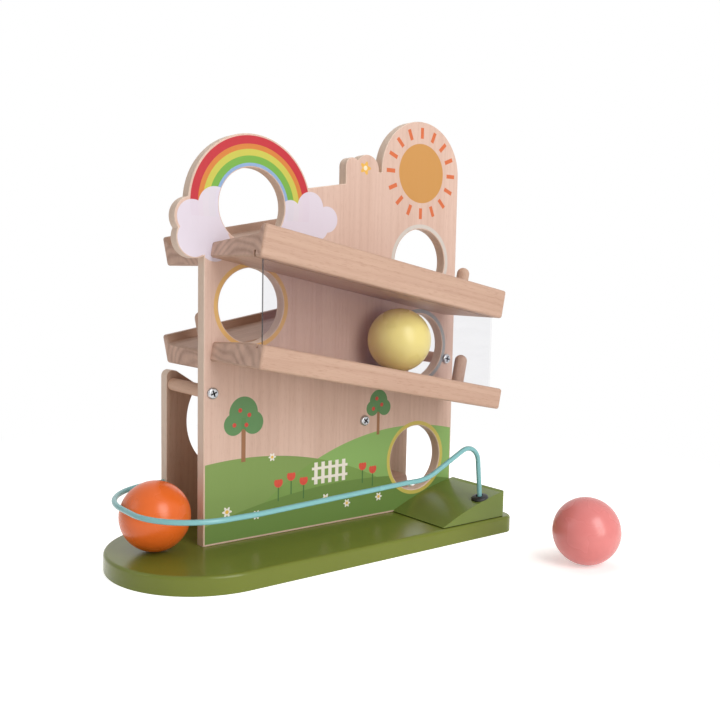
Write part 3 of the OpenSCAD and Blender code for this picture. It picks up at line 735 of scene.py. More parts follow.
PRINTED = printed_wood()
# The rear panel's wood in its darker, greener tones: painted shade
REAR_WOOD_PAINTED_SHADE = bare_wood(
    "rear_panel_wood_painted_shade", UPRIGHT, (0.0, 0.31, 0.47), staves=True, tones=REAR_PAINTED_SHADE_TONES)[0]
EDGE_WOOD = bare_wood("panel_edge_wood", UPRIGHT, (0.0, 0.17, 0.23), tones=EDGE_TONES)[0]
RAMP_WOOD = {
    "front_upper": bare_wood("front_upper_ramp_wood", FRONT_LAY, (0.0, 0.11, 0.03))[0],
    "front_lower": bare_wood("front_lower_ramp_wood", FRONT_LAY, (0.4, 0.23, 0.07))[0],
    "back_upper": bare_wood("back_upper_ramp_wood", BACK_LAY, (0.8, 0.37, 0.11))[0],
    "back_lower": bare_wood("back_lower_ramp_wood", BACK_LAY, (1.2, 0.41, 0.05))[0],
}
PEG_WOOD = bare_wood("turned_peg_wood", UPRIGHT, tones=STOP_TONES)[0]
SPACER_WOOD = bare_wood("turned_spacer_wood", TURNED, tones=DOWEL_TONES)[0]
CHUTE_WOOD = bare_wood("outlet_chute_wood", (0.0, 0.0, 0.0), (0.3, 0.52, 0.2))[0]
OLIVE = painted("olive_paint", tint(114, 125, 46), gloss=0.2, specular=0.3)
# The wedge's olive, greener and bluer than the board's: painted sheen
WEDGE_OLIVE_PAINTED_SHEEN = painted("wedge_olive_painted_sheen", tint(114, 131, 60), gloss=0.2, specular=0.3)
# Nearly black olive on the wedge's foot chamfer: painted shade where the wedge meets the board
OLIVE_PAINTED_SHADE = painted("olive_painted_shade", tint(38, 44, 18), gloss=0.5, specular=0.2)
WIRE_BLUE = painted("wire_blue_paint", tint(128, 188, 192), gloss=0.22, depth=0.00001)
ORANGE = painted("orange_ball_paint", tint(234, 108, 38), gloss=0.23, specular=0.45, depth=0.00001)
YELLOW = painted("yellow_ball_paint", tint(255, 240, 148), gloss=0.24, specular=0.45, depth=0.00001)
PINK = painted("pink_ball_paint", tint(222, 129, 127), gloss=0.23, depth=0.00001)
SHEET = clear_sheet("clear_window_sheet", tint(92, 82, 122), cover=0.05, rough=0.05)
# The window's left edge painted dark and nearly opaque, its right edge painted pale and almost
# clear: painted shade and painted light on the edges
SHEET_PAINTED_DARK_EDGE = clear_sheet("clear_window_painted_dark_edge", tint(58, 54, 60), cover=0.80, rough=0.2)
SHEET_PAINTED_PALE_EDGE = clear_sheet("clear_window_painted_pale_edge", tint(235, 235, 240), cover=0.01, rough=0.05)
ZINC = plated_steel("zinc_plate", tint(168, 171, 176), tint(206, 208, 210))
# Dark zinc for the cross recesses: painted shade
ZINC_PAINTED_SHADE = plated_steel("zinc_painted_recess_shade", tint(58, 58, 60), tint(92, 92, 94))
BLACK = black_plastic()


# Pieces

def place_object(name, data):
    """A new object in the scene for a mesh, an outline, a lamp or a camera."""
    item = bpy.data.objects.new(name, data)
    bpy.context.collection.objects.link(item)
    return item


def add_part(whole, bm):
    """Moves what a bmesh holds into another one."""
    part = bpy.data.meshes.new("part")
    bm.to_mesh(part)
    bm.free()
    whole.from_mesh(part)
    bpy.data.meshes.remove(part)


def finish_piece(bm, name, body, slot, nodes, *finishes):
    """Turns a bmesh into a piece at the origin that rides on a body."""
    bmesh.ops.remove_doubles(bm, verts=bm.verts, dist=MERGE)
    bmesh.ops.recalc_face_normals(bm, faces=bm.faces)
    for face in bm.faces:
        face.smooth = True
    for edge in bm.edges:
        edge.smooth = edge.calc_face_angle(0.0) < SHARP
    mesh = bpy.data.meshes.new(name)
    bm.to_mesh(mesh)
    bm.free()
    for finish in finishes:
        mesh.materials.append(finish)
    piece = place_object(name, mesh)
    even = piece.modifiers.new("even_shading", "WEIGHTED_NORMAL")
    even.keep_sharp = True
    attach(piece, body)
    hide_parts(*nodes)


def round_edges(bm, edges, radius, segments):
    bmesh.ops.bevel(
        bm, geom=edges, offset=radius, offset_type="OFFSET", affect="EDGES",
        segments=segments, profile=0.5, material=-1, clamp_overlap=True)


def pull(bm, faces, way):
    """Extrudes faces along a vector."""
    made = bmesh.ops.extrude_face_region(bm, geom=faces)["geom"]
    corners = [item for item in made if isinstance(item, bmesh.types.BMVert)]
    bmesh.ops.translate(bm, verts=corners, vec=way)


def section_face(bm, points):
    return bm.faces.new([bm.verts.new(point) for point in points])


def turned_piece(bm, profile, steps):
    """Spins a profile of (radius, height) points round the Z axis."""
    corners = [bm.verts.new((radius, 0.0, height)) for radius, height in profile]
    edges = [bm.edges.new(pair) for pair in zip(corners, corners[1:])]
    bmesh.ops.spin(
        bm, geom=corners + edges, cent=(0, 0, 0), axis=(0, 0, 1), angle=2 * math.pi,
        steps=steps, use_merge=True)
    bmesh.ops.remove_doubles(bm, verts=bm.verts, dist=SEAM)


def arc(cx, cz, radius, start, end, steps):
    """Points on a round run of an outline."""
    turns = [math.radians(start + (end - start) * i / steps) for i in range(steps + 1)]
    return [(cx + radius * math.cos(turn), cz + radius * math.sin(turn)) for turn in turns]


def plate_piece(name, loops, y_mid, thick, slot, nodes, finish):
    """A plate cut from a flat outline; its softened edges show paler wood than its faces."""
    flat = bpy.data.curves.new(name, "CURVE")
    flat.dimensions = "2D"
    flat.fill_mode = "BOTH"
    flat.extrude = thick / 2 - PANEL_EDGE
    flat.bevel_depth = PANEL_EDGE
    flat.bevel_resolution = 2
    flat.offset = -PANEL_EDGE
    for loop in loops:
        spline = flat.splines.new("POLY")
        spline.points.add(len(loop) - 1)
        for point, (x, z) in zip(spline.points, loop):
            point.co = (x, z, 0.0, 1.0)
        spline.use_cyclic_u = True
    pattern = place_object(name + "_outline", flat)
    cut = bpy.data.meshes.new_from_object(
        pattern.evaluated_get(bpy.context.evaluated_depsgraph_get()))
    bpy.data.objects.remove(pattern)
    bpy.data.curves.remove(flat)
    bm = bmesh.new()
    bm.from_mesh(cut)
    bpy.data.meshes.remove(cut)
    stand = Matrix.Translation(spot(0.0, y_mid, 0.0)) @ Matrix.Rotation(math.pi / 2, 4, "X")
    bmesh.ops.transform(bm, matrix=stand @ Matrix.Scale(MM, 4), verts=bm.verts)
    bm.normal_update()
    for face in bm.faces:
        face.material_index = 1 if abs(face.normal.y) < EDGE_FACING else 0
    finish_piece(bm, name, "toy", slot, nodes, finish, EDGE_WOOD)


def make_board():
    bm = bmesh.new()
    size = Matrix.Diagonal((BOARD_LEN * MM, BOARD_DEPTH * MM, BOARD_T * MM, 1.0))
    bmesh.ops.create_cube(bm, size=1.0, matrix=Matrix.Translation((0, 0, BOARD_T * MM / 2)) @ size)
    upright = [e for e in bm.edges if abs(e.verts[0].co.z - e.verts[1].co.z) > NEAR * MM]
    left = [e for e in upright if e.verts[0].co.x < 0]
    right = [e for e in upright if e.verts[0].co.x > 0]
    round_edges(bm, right, BOARD_CORNER * MM, 12)
    round_edges(bm, left, (BOARD_DEPTH / 2 - 2 * NEAR) * MM, 48)
    top = [e for e in bm.edges if min(v.co.z for v in e.verts) > (BOARD_T - NEAR) * MM]
    round_edges(bm, top, BOARD_EDGE * MM, 5)
    low = [e for e in bm.edges if max(v.co.z for v in e.verts) < NEAR * MM]
    round_edges(bm, low, BOARD_FOOT * MM, 2)
    finish_piece(bm, "painted_board", "toy", "olive_paint", ["base_board"], OLIVE)


def crossing(first, second, side):
    """Where two round outlines (x, z, radius) cross; side is 1 on the left of the way across."""
    (x0, z0, r0), (x1, z1, r1) = first, second
    gap = math.hypot(x1 - x0, z1 - z0)
    along = (gap * gap + r0 * r0 - r1 * r1) / (2 * gap)
    aside = side * math.sqrt(r0 * r0 - along * along)
    ux, uz = (x1 - x0) / gap, (z1 - z0) / gap
    return x0 + along * ux - aside * uz, z0 + along * uz + aside * ux


def bearing(disc, point):
    """Direction of a point from a disc's centre in degrees."""
    return math.degrees(math.atan2(point[1] - disc[1], point[0] - disc[0]))


def panel_outline():
    head = (*SUN, SUN_R)
    rainbow = (*ARCH, ARCH_R)
    saddle = crossing(BUMP_CORNER, BUMP_CROWN, 1.0)
    cloud = crossing(LOBES[0], rainbow, 1.0)
    fold = crossing(LOBES[1], LOBES[0], 1.0)
    foot = -math.degrees(math.acos(-LOBES[1][0] / LOBES[1][2]))
    line = [(0.0, 0.0), (PANEL_W, 0.0)]
    line += arc(*head, 0.0, 180.0 + math.degrees(math.asin((SUN[1] - NOTCH_Z) / SUN_R)), 64)
    notch = -math.degrees(math.asin((BUMP_CROWN[1] - NOTCH_Z) / BUMP_CROWN[2]))
    line += arc(*BUMP_CROWN, notch, bearing(BUMP_CROWN, saddle) % 360, 24)
    line += arc(*BUMP_CORNER, bearing(BUMP_CORNER, saddle), 180.0, 14)
    line += [(BUMP_X, BUMP_FOOT), DIP]
    start = math.degrees(math.asin(ARCH_FOOT / ARCH_R))
    line += arc(*rainbow, start, bearing(rainbow, cloud) % 360, 64)
    line += arc(*LOBES[0], bearing(LOBES[0], cloud), bearing(LOBES[0], fold) % 360, 18)
    line += arc(*LOBES[1], bearing(LOBES[1], fold) % 360, foot % 360, 20)
    return line


def make_panels():
    holes = [
        arc(x, z, HOLE_R, 0.0, 360.0 / HOLE_SIDES - 360.0, HOLE_SIDES - 1)
        for x, z in (ARCH, LEFT_HOLE, UPPER_HOLE, MIDDLE_HOLE, OUTLET)]
    plate_piece(
        "printed_panel", [panel_outline()] + holes, 0.0, PANEL_T, "printed_wood",
        ["centre_panel"], PRINTED)
    outline = [(0.0, 0.0), (BACK_W, 0.0)]
    outline += arc(*SHOULDER, 0.0, 90.0, 12)
    outline.append((BACK_W - 2 * SHOULDER[2], SHOULDER[1] + SHOULDER[2]))
    outline.append((BACK_W - SHOULDER_RUN, BACK_MID))
    rim = math.degrees(math.asin((BACK_MID - SCOOP[1]) / SCOOP[2]))
    outline += arc(*SCOOP, rim, SCOOP_END, 64)
    outline += [POST_LINE] + arc(*POST, 90.0, 180.0, 12)
    outline = [(x + BACK_SHIFT, z) for x, z in outline]
    plate_piece(
        "rear_panel", [outline], BACK_Y + BACK_T / 2, BACK_T, "bare_wood",
        ["back_panel"], REAR_WOOD_PAINTED_SHADE)


def ramp_frame(side, mid):
    """From a ramp's own millimetres to its place on the panel."""
    front = side == "front"
    spin = Matrix.Rotation(SLOPE if front else -SLOPE, 4, "Y")
    flip = Matrix.Diagonal((1, -1, 1, 1) if front else (-1, 1, 1, 1))
    face = -PANEL_T / 2 if front else PANEL_T / 2
    slip = Matrix.Translation((0.0 if front else BACK_SLIP, 0.0, 0.0))
    stand = Matrix.Translation(spot(MID_X, face, mid)) @ spin @ flip
    return stand @ Matrix.Scale(MM, 4) @ slip


def make_ramp(name, floor, rise, railed, groove):
    """One milled ramp from its cross section, the sawn ends with growth rings."""
    top = floor + rise
    high = top + RAIL_H if railed else top
    if railed:
        inner = [(RAMP_DEPTH - RAIL_W, high), (RAIL_FOOT, top), (0.0, floor)]
    else:
        inner = [(LIP_FOOT, top), (0.0, floor)]
    g0, g1 = WINDOW_OUT - GROOVE_W / 2, WINDOW_OUT + GROOVE_W / 2
    under, over = [], []
    if groove == "under":
        under = [(g0, 0.0), (g0, GROOVE_UP), (g1, GROOVE_UP), (g1, 0.0)]
    if groove == "over":
        over = [(g1, high), (g1, high - GROOVE_DOWN), (g0, high - GROOVE_DOWN), (g0, high)]
    profile = [(0.0, 0.0)] + under + [(RAMP_DEPTH, 0.0), (RAMP_DEPTH, high)] + over + inner
    bm = bmesh.new()
    end = section_face(bm, [(RAMP_S0, out, up) for out, up in profile])
    outer = [v for v in end.verts if v.co.y > RAMP_DEPTH - NEAR]
    bmesh.ops.bevel(
        bm, geom=outer, offset=RAMP_EDGE, affect="VERTICES", segments=6, profile=0.5, material=-1)
    if railed:
        lip = [v for v in bm.verts if abs(v.co.y - (RAMP_DEPTH - RAIL_W)) < NEAR]
        bmesh.ops.bevel(
            bm, geom=lip, offset=RAIL_EDGE, affect="VERTICES", segments=4, profile=0.5, material=-1)
    pull(bm, bm.faces[:], (RAMP_S1 - RAMP_S0, 0.0, 0.0))

    def on_end(edge):
        ends = [abs(v.co.x - s) < NEAR for s in (RAMP_S0, RAMP_S1) for v in edge.verts]
        return all(ends[:2]) or all(ends[2:])

    def plain(edge):
        middle = (edge.verts[0].co + edge.verts[1].co) / 2
        level = middle.z > high - GROOVE_DOWN - NEAR
        if groove == "under":
            level = middle.z < GROOVE_UP + NEAR
        cut = groove and g0 - NEAR <= middle.y <= g1 + NEAR and level
        return middle.y > NEAR and not cut

    round_edges(bm, [e for e in bm.edges if on_end(e) and plain(e)], RAMP_END_EDGE, 5)
    bm.normal_update()
    for face in bm.faces:
        face.material_index = 1 if abs(face.normal.x) > END_FACING else 0
    side = name.split("_")[0]
    place = ramp_frame(side, RAMP_Z[name])
    bmesh.ops.transform(bm, matrix=place, verts=bm.verts)
    lay = FRONT_LAY if side == "front" else BACK_LAY
    ends = end_grain(name + "_end_grain", lay, place @ Vector(END_HEART[name]))
    finish_piece(bm, name + "_track", "toy", "bare_wood", [name + "_ramp"], RAMP_WOOD[name], ends)


def make_peg(name, floor, rise, foot):
    seat = floor + rise * PEG_OUT / foot
    crown = PEG_H - PEG_DOME
    profile = [(0.0, -PEG_DEEP), (PEG_R, -PEG_DEEP), (PEG_R, crown)]
    profile += [
        (PEG_R * math.cos(math.radians(turn)), crown + PEG_DOME * math.sin(math.radians(turn)))
        for turn in (12, 24, 36, 48, 60, 72, 82)]
    profile.append((0.0, PEG_H))
    bm = bmesh.new()
    turned_piece(bm, profile, 40)
    ramp = ramp_frame(name.split("_")[0], RAMP_Z[name])
    stand = ramp @ Matrix.Translation((PEG_S, PEG_OUT, seat))
    bmesh.ops.transform(bm, matrix=stand, verts=bm.verts)
    finish_piece(bm, name + "_stop", "toy", "bare_wood", [name + "_peg"], PEG_WOOD)


def make_window():
    def line(mid, up, x):
        return mid - (x - MID_X) * math.tan(SLOPE) + up / math.cos(SLOPE)
    low = LOWER_FLOOR + LOWER_RISE - GROOVE_DOWN
    high = GROOVE_UP - WINDOW_SLACK
    x0, x1 = WINDOW_X
    y = -PANEL_T / 2 - WINDOW_OUT - WINDOW_T / 2
    foot, head = RAMP_Z["front_lower"], RAMP_Z["front_upper"]
    corners = [
        (x0, line(foot, low, x0)), (x1, line(foot, low, x1)),
        (x1, line(head, high, x1)), (x0, line(head, high, x0))]
    bm = bmesh.new()
    section_face(bm, [spot(x, y, z) for x, z in corners])
    pull(bm, bm.faces[:], (0.0, WINDOW_T * MM, 0.0))
    round_edges(bm, bm.edges[:], WINDOW_EDGE * MM, 2)
    bmesh.ops.recalc_face_normals(bm, faces=bm.faces)
    # Left edge faces take the painted dark edge, right edge faces the painted pale edge
    for face in bm.faces:
        if abs(face.normal.x) > 0.5:
            face.material_index = 1 if face.normal.x < 0 else 2
    finish_piece(
        bm, "clear_window", "toy", "clear_sheet", ["front_window"], SHEET, SHEET_PAINTED_DARK_EDGE, SHEET_PAINTED_PALE_EDGE)


def make_spacers():
    half = (BACK_Y - PANEL_T / 2) / 2
    tip, shoulder = SPACER_R - 0.4, half - 0.5
    profile = [
        (0.0, -half), (tip, -half), (SPACER_R, -shoulder),
        (SPACER_R, shoulder), (tip, half), (0.0, half)]
    lie = Matrix.Rotation(math.pi / 2, 4, "X") @ Matrix.Scale(MM, 4)
    for name, (x, z) in SPACERS.items():
        bm = bmesh.new()
        turned_piece(bm, profile, 40)
        stand = Matrix.Translation(spot(x, PANEL_T / 2 + half, z)) @ lie
        bmesh.ops.transform(bm, matrix=stand, verts=bm.verts)
        finish_piece(bm, name + "_dowel", "toy", "bare_wood", [name + "_spacer"], SPACER_WOOD)


def cross_screw(turn):
    """A round-head screw with a cross recess, in millimetres, seated at the origin, head up."""
    bm = bmesh.new()
    bmesh.ops.create_circle(
        bm, cap_ends=True, radius=HEAD_CAP_R, segments=48,
        matrix=Matrix.Translation((0.0, 0.0, HEAD_H)))
    for way in (Vector((1.0, 0.0, 0.0)), Vector((0.0, 1.0, 0.0))):
        for cut in (-SLOT_REACH, -SLOT_HALF, SLOT_HALF, SLOT_REACH):
            bmesh.ops.bisect_plane(
                bm, geom=bm.verts[:] + bm.edges[:] + bm.faces[:], dist=SEAM,
                plane_co=way * cut, plane_no=way)
    cross = []
    for face in bm.faces:
        middle = face.calc_center_median()
        near, far = sorted((abs(middle.x), abs(middle.y)))
        if near < SLOT_HALF and far < SLOT_REACH:
            cross.append(face)
    pull(bm, cross, (0.0, 0.0, -SLOT_DEEP))
    bmesh.ops.delete(bm, geom=[face for face in cross if face.is_valid], context="FACES_ONLY")
    # The recess walls and floor take the dark zinc: painted shade in the cross
    for face in bm.faces:
        if face.calc_center_median().z < HEAD_H - NEAR:
            face.material_index = 1
    end = -PANEL_T - SCREW_IN
    profile = [(HEAD_CAP_R, HEAD_H)] + [(radius, HEAD_H - drop) for radius, drop in HEAD_ROUND]
    profile += [(HEAD_R, 1.0), (HEAD_R, 0.0), (SHANK_R, 0.0)]
    profile += [(SHANK_R, end + SHANK_TIP), (0.0, end)]
    turned_piece(bm, profile, 48)
    bmesh.ops.rotate(
        bm, verts=bm.verts, cent=(0, 0, 0), matrix=Matrix.Rotation(math.radians(turn), 3, "Z"))
    return bm


def make_screws(name, face_y, way):
    """Three screws into the spacers, heads on a panel's face; way is -1 in front, 1 behind."""
    whole = bmesh.new()
    lie = Matrix.Rotation(-way * math.pi / 2, 4, "X") @ Matrix.Scale(MM, 4)
    for (x, z), turn in zip(SPACERS.values(), SCREW_TURNS):
        bm = cross_screw(turn)
        stand = Matrix.Translation(spot(x, face_y, z)) @ lie
        bmesh.ops.transform(bm, matrix=stand, verts=bm.verts)
        add_part(whole, bm)
    finish_piece(
        whole, name + "_panel_screws", "toy", "zinc", [name + "_spacer_screws"], ZINC, ZINC_PAINTED_SHADE)


def make_wedge():
    """The outlet slope; a small chamfer round its foot is painted dark, a painted shadow line along
    the board.
    """
    def height(x):
        return WEDGE_CENTRE[1] + math.sqrt(WEDGE_R ** 2 - (x - WEDGE_CENTRE[0]) ** 2)
    x0, x1 = WEDGE_X
    steps = 28
    bm = bmesh.new()
    top = [x1 + (x0 - x1) * i / steps for i in range(steps + 1)]
    section = [(x0, 0.0), (x1, 0.0)] + [(x, height(x)) for x in top]
    section_face(bm, [spot(x, WEDGE_FRONT, z) for x, z in section])
    depth = -PANEL_T / 2 - WEDGE_FRONT
    pull(bm, bm.faces[:], (0.0, depth * MM, 0.0))
    front = spot(x1, WEDGE_FRONT, 0.0)
    corner = [
        e for e in bm.edges
        if all((v.co.xy - front.xy).length < TOUCH for v in e.verts)]
    round_edges(bm, corner, WEDGE_CORNER * MM, 8)
    floor = spot(0, 0, WEDGE_SEAM / 2).z
    back = spot(0, -PANEL_T / 2, 0).y
    bm.normal_update()

    def clear(edge):
        return min(v.co.y for v in edge.verts) < back - TOUCH

    def rim(edge):
        high = min(v.co.z for v in edge.verts) > floor
        return high and clear(edge) and edge.calc_face_angle(0.0) > WEDGE_RIM

    foot = [e for e in bm.edges if max(v.co.z for v in e.verts) < floor and clear(e)]
    round_edges(bm, [e for e in bm.edges if rim(e)], WEDGE_EDGE * MM, 5)
    round_edges(bm, [e for e in foot if e.is_valid], WEDGE_SEAM * MM, 1)
    # The faces of the foot chamfer take the nearly black olive: painted shade
    for face in bm.faces:
        middle = face.calc_center_median().z
        if spot(0, 0, 5 * NEAR).z < middle < spot(0, 0, WEDGE_SEAM - 5 * NEAR).z:
            face.material_index = 1
    finish_piece(
        bm, "outlet_slope", "toy", "olive_paint", ["outlet_wedge"], WEDGE_OLIVE_PAINTED_SHEEN, OLIVE_PAINTED_SHADE)


def make_chute():
    x0, x1 = CHUTE_X
    y0, y1 = PANEL_T / 2, BACK_Y
    cut_x, cut_y = CHUTE_CUT[0], y0 + CHUTE_CUT[1]
    plan = [(x0, y0), (cut_x, y0), (x1, cut_y), (x1, y1), (x0, y1)]
    bm = bmesh.new()
    section_face(bm, [spot(x, y, 0.0) for x, y in plan])
    pull(bm, bm.faces[:], (0.0, 0.0, CHUTE_Z[0] * MM))
    slope = (CHUTE_Z[1] - CHUTE_Z[0]) / (y1 - y0)
    half_way = spot(0, 0, CHUTE_Z[0] / 2).z
    for vert in bm.verts:
        if vert.co.z > half_way:
            vert.co.z += slope * (vert.co.y - y0 * MM)
    ends = [
        e for e in bm.edges
        if min(v.co.z for v in e.verts) > half_way
        and abs(e.verts[0].co.y - e.verts[1].co.y) > TOUCH]
    round_edges(bm, ends, CHUTE_EDGE * MM, 4)
    finish_piece(bm, "outlet_chute", "toy", "bare_wood", ["rear_chute"], CHUTE_WOOD)


def make_wire():
    """Steel wire bent step by step from its end in the rear panel to the wedge."""
    bm = bmesh.new()
    seat = Vector((WIRE_END_X, BACK_Y + BACK_T / 2, WIRE_Z))
    heading = Vector((-1.0, 0.0, 0.0))
    face_way = Matrix.Translation(seat) @ Matrix.Rotation(math.pi / 2, 4, "Y")
    ring = bmesh.ops.create_circle(
        bm, cap_ends=True, radius=WIRE_R, segments=24, matrix=face_way)
    loop = [e for v in ring["verts"] for e in v.link_edges]
    state = {"at": seat, "way": heading, "loop": list(dict.fromkeys(loop))}

    def run(length):
        made = bmesh.ops.extrude_edge_only(bm, edges=state["loop"])["geom"]
        corners = [item for item in made if isinstance(item, bmesh.types.BMVert)]
        bmesh.ops.translate(bm, verts=corners, vec=state["way"] * length)
        new = set(corners)
        edges = [item for item in made if isinstance(item, bmesh.types.BMEdge)]
        state["loop"] = [edge for edge in edges if set(edge.verts) <= new]
        state["at"] = state["at"] + state["way"] * length

    def bend(radius, angle, towards, steps):
        towards = Vector(towards)
        towards = (towards - state["way"] * towards.dot(state["way"])).normalized()
        centre = state["at"] + towards * radius
        axis = state["way"].cross(towards)
        corners = list(dict.fromkeys(v for e in state["loop"] for v in e.verts))
        made = bmesh.ops.spin(
            bm, geom=corners + state["loop"], cent=centre, axis=axis, angle=angle,
            steps=steps, use_merge=False)["geom_last"]
        state["loop"] = [item for item in made if isinstance(item, bmesh.types.BMEdge)]
        turn = Matrix.Rotation(angle, 3, axis)
        state["at"] = centre + turn @ (state["at"] - centre)
        state["way"] = turn @ state["way"]

    rear_bend = WIRE_LEFT + REAR_BEND_X
    front_bend = WIRE_LEFT + FRONT_BEND_X
    straight = seat.y - GROMMET[1] - rear_bend - front_bend
    level = WIRE_Z + WIRE_RISE
    rise = math.atan(WIRE_RISE / RISE_RUN)
    lean_t = math.tan(WIRE_LEAN)
    climb_t = math.tan(CLIMB)
    apex_run = GROMMET[0] + lean_t * GROMMET[2] - CLIMB_X
    apex_z = (level + climb_t * apex_run) / (1 + climb_t * lean_t)
    apex_x = GROMMET[0] - lean_t * (apex_z - GROMMET[2])
    apex_turn = CLIMB + math.pi / 2 - WIRE_LEAN
    apex_cut = APEX_BEND * math.tan(apex_turn / 2)
    climb_cut = CLIMB_BEND * math.tan(CLIMB / 2)
    rise_cut = RISE_BEND * math.tan(rise / 2)
    up, down = (0, 0, 1), (0, 0, -1)
    run(WIRE_END_X - REAR_BEND_X)
    bend(rear_bend, math.pi / 2, (0, -1, 0), 32)
    run(straight)
    bend(front_bend, math.pi / 2, (1, 0, 0), 32)
    run(RISE_LEAD)
    bend(RISE_BEND, rise, up, 3)
    run(RISE_RUN / math.cos(rise) - 2 * rise_cut)
    bend(RISE_BEND, rise, down, 3)
    run(CLIMB_X - climb_cut - (RISE_LEAD + RISE_RUN + 2 * rise_cut + FRONT_BEND_X))
    bend(CLIMB_BEND, CLIMB, up, 14)
    run((apex_x - CLIMB_X) / math.cos(CLIMB) - climb_cut - apex_cut)
    bend(APEX_BEND, apex_turn, down, 24)
    run((apex_z - GROMMET[2]) / math.cos(WIRE_LEAN) - apex_cut + WIRE_TAIL)
    bmesh.ops.edgenet_fill(bm, edges=state["loop"])
    place = Matrix.Translation(spot(0, 0, 0)) @ Matrix.Scale(MM, 4)
    bmesh.ops.transform(bm, matrix=place, verts=bm.verts)
    finish_piece(bm, "bent_wire", "toy", "blue_wire", ["wire_guard"], WIRE_BLUE)


def make_grommet():
    """A rubber bush: its flange lies on the wedge's slope and its stem follows the wire."""
    whole = bmesh.new()
    bore, sleeve, foot, top = WIRE_R + 0.1, 4.5, -6.0, 1.0
    stem = [(bore, foot), (sleeve, foot), (sleeve, top), (bore, top), (bore, foot)]
    flange = [
        (3.2, 0.2), (7.25, 0.2), (7.25, 1.0), (7.05, 1.5), (6.4, 2.1), (5.2, 2.6), (4.2, 2.85),
        (3.4, 3.0), (2.8, 2.7), (3.2, 0.2)]
    for profile, lean in ((stem, WIRE_LEAN), (flange, FLANGE_TILT)):
        bm = bmesh.new()
        turned_piece(bm, profile, 48)
        place = Matrix.Translation(spot(*GROMMET)) @ Matrix.Rotation(-lean, 4, "Y")
        bmesh.ops.transform(bm, matrix=place @ Matrix.Scale(MM, 4), verts=bm.verts)
        add_part(whole, bm)
    finish_piece(whole, "wire_bush", "toy", "black_plastic", ["wire_grommet"], BLACK)


def make_ball(colour, finish):
    low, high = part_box(colour + "_ball")
    centre = (Vector(low) + Vector(high)) / 2
    steps = 48
    profile = [
        (BALL_R * math.sin(math.pi * i / steps), -BALL_R * math.cos(math.pi * i / steps))
        for i in range(steps + 1)]
    bm = bmesh.new()
    turned_piece(bm, profile, 72)
    bmesh.ops.transform(
        bm, matrix=Matrix.Translation(centre) @ Matrix.Scale(MM, 4), verts=bm.verts)
    finish_piece(
        bm, colour + "_turned_ball", colour, colour + "_paint", [colour + "_ball"], finish)


make_board()
make_panels()
for ramp, (floor, rise, railed, groove) in RAMPS.items():
    make_ramp(ramp, floor, rise, railed, groove)
for ramp, (floor, rise, railed, _) in RAMPS.items():
    make_peg(ramp, floor, rise, RAIL_FOOT if railed else LIP_FOOT)
make_window()
make_spacers()
make_screws("front", -PANEL_T / 2, -1)
make_screws("back", BACK_Y + BACK_T, 1)
make_wedge()
make_chute()
make_wire()
make_grommet()
make_ball("orange", ORANGE)
make_ball("yellow", YELLOW)
make_ball("pink", PINK)

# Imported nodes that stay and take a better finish
KEPT = {
    "centre_panel_screws": ZINC, "back_panel_screws": ZINC,
    "wedge_screws": ZINC, "chute_screws": ZINC,
    "front_upper_pins": PEG_WOOD, "front_lower_pins": PEG_WOOD,
    "back_upper_pins": PEG_WOOD, "back_lower_pins": PEG_WOOD,
}
for node, finish in KEPT.items():
    for holder in bpy.data.objects[node].material_slots:
        holder.material = finish


# Floor, light and camera

WHITE = (1.0, 1.0, 1.0, 1.0)
WARM_WHITE = (1.0, 0.93, 0.86, 1.0)
MATT_WHITE = (0.95, 0.95, 0.95, 1.0)
SHADE_WHITE = (0.9, 0.9, 0.9, 1.0)
FLOOR_HALF = 6.0
FLOOR_FADE = (0.28, 0.6)
FLOOR_BOUNCE = 0.1
WORLD_LEVEL = 0.28

# The strip of floor that the pink ball rolls on: its middle from the ball at rest, its half
# length, the distances over which its shadow fades, and the floor's own light at either end
RUN_MIDDLE = (-0.062, 0.002)
RUN_HALF = 0.15
RUN_FADE = (0.022, 0.055)
RUN_LIGHT = (0.4, 0.74)


def make_floor():
    """A white floor that keeps a soft shadow where the pink ball rolls."""
    bm = bmesh.new()
    bmesh.ops.create_grid(bm, x_segments=2, y_segments=2, size=FLOOR_HALF)
    mesh = bpy.data.meshes.new("studio_floor")
    bm.to_mesh(mesh)
    bm.free()
    floor = place_object("studio_floor", mesh)
    material = bpy.data.materials.new("white_floor")
    material.use_nodes = True
    bench = Bench(material.node_tree)
    material.node_tree.nodes.remove(material.node_tree.nodes["Principled BSDF"])
    seen = bench.seen()
    place = bench.add("TexCoord").outputs["Object"]
    fade = bench.span(bench.steer("LENGTH", place), *FLOOR_FADE, ease="SMOOTHSTEP")
    low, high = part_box("pink_ball")
    run_x = (low[0] + high[0]) / 2 + RUN_MIDDLE[0]
    run_y = (low[1] + high[1]) / 2 + RUN_MIDDLE[1]
    parts = bench.split(place)
    along = bench.work("ABSOLUTE", bench.work("SUBTRACT", parts["X"], run_x))
    along = bench.work("MAXIMUM", bench.work("SUBTRACT", along, RUN_HALF), 0.0)
    across = bench.work("SUBTRACT", parts["Y"], run_y)
    beside = bench.steer("LENGTH", bench.add("CombineXYZ", {"X": along, "Y": across}).outputs[0])
    glow = bench.span(beside, *RUN_FADE, *RUN_LIGHT, ease="SMOOTHSTEP")

    def shader(kind, *values):
        node = bench.add(kind)
        for socket, value in zip(node.inputs, values):
            bench.feed(socket, value)
        return node.outputs[0]

    near = shader(
        "AddShader", shader("BsdfDiffuse", SHADE_WHITE), shader("Emission", WHITE, glow))
    shown = shader("MixShader", fade, near, shader("Emission", WHITE, 1.0))
    unseen = shader(
        "AddShader", shader("BsdfDiffuse", MATT_WHITE), shader("Emission", WARM_WHITE, FLOOR_BOUNCE))
    surface = material.node_tree.nodes["Material Output"].inputs["Surface"]
    bench.feed(surface, shader("MixShader", seen, unseen, shown))
    mesh.materials.append(material)


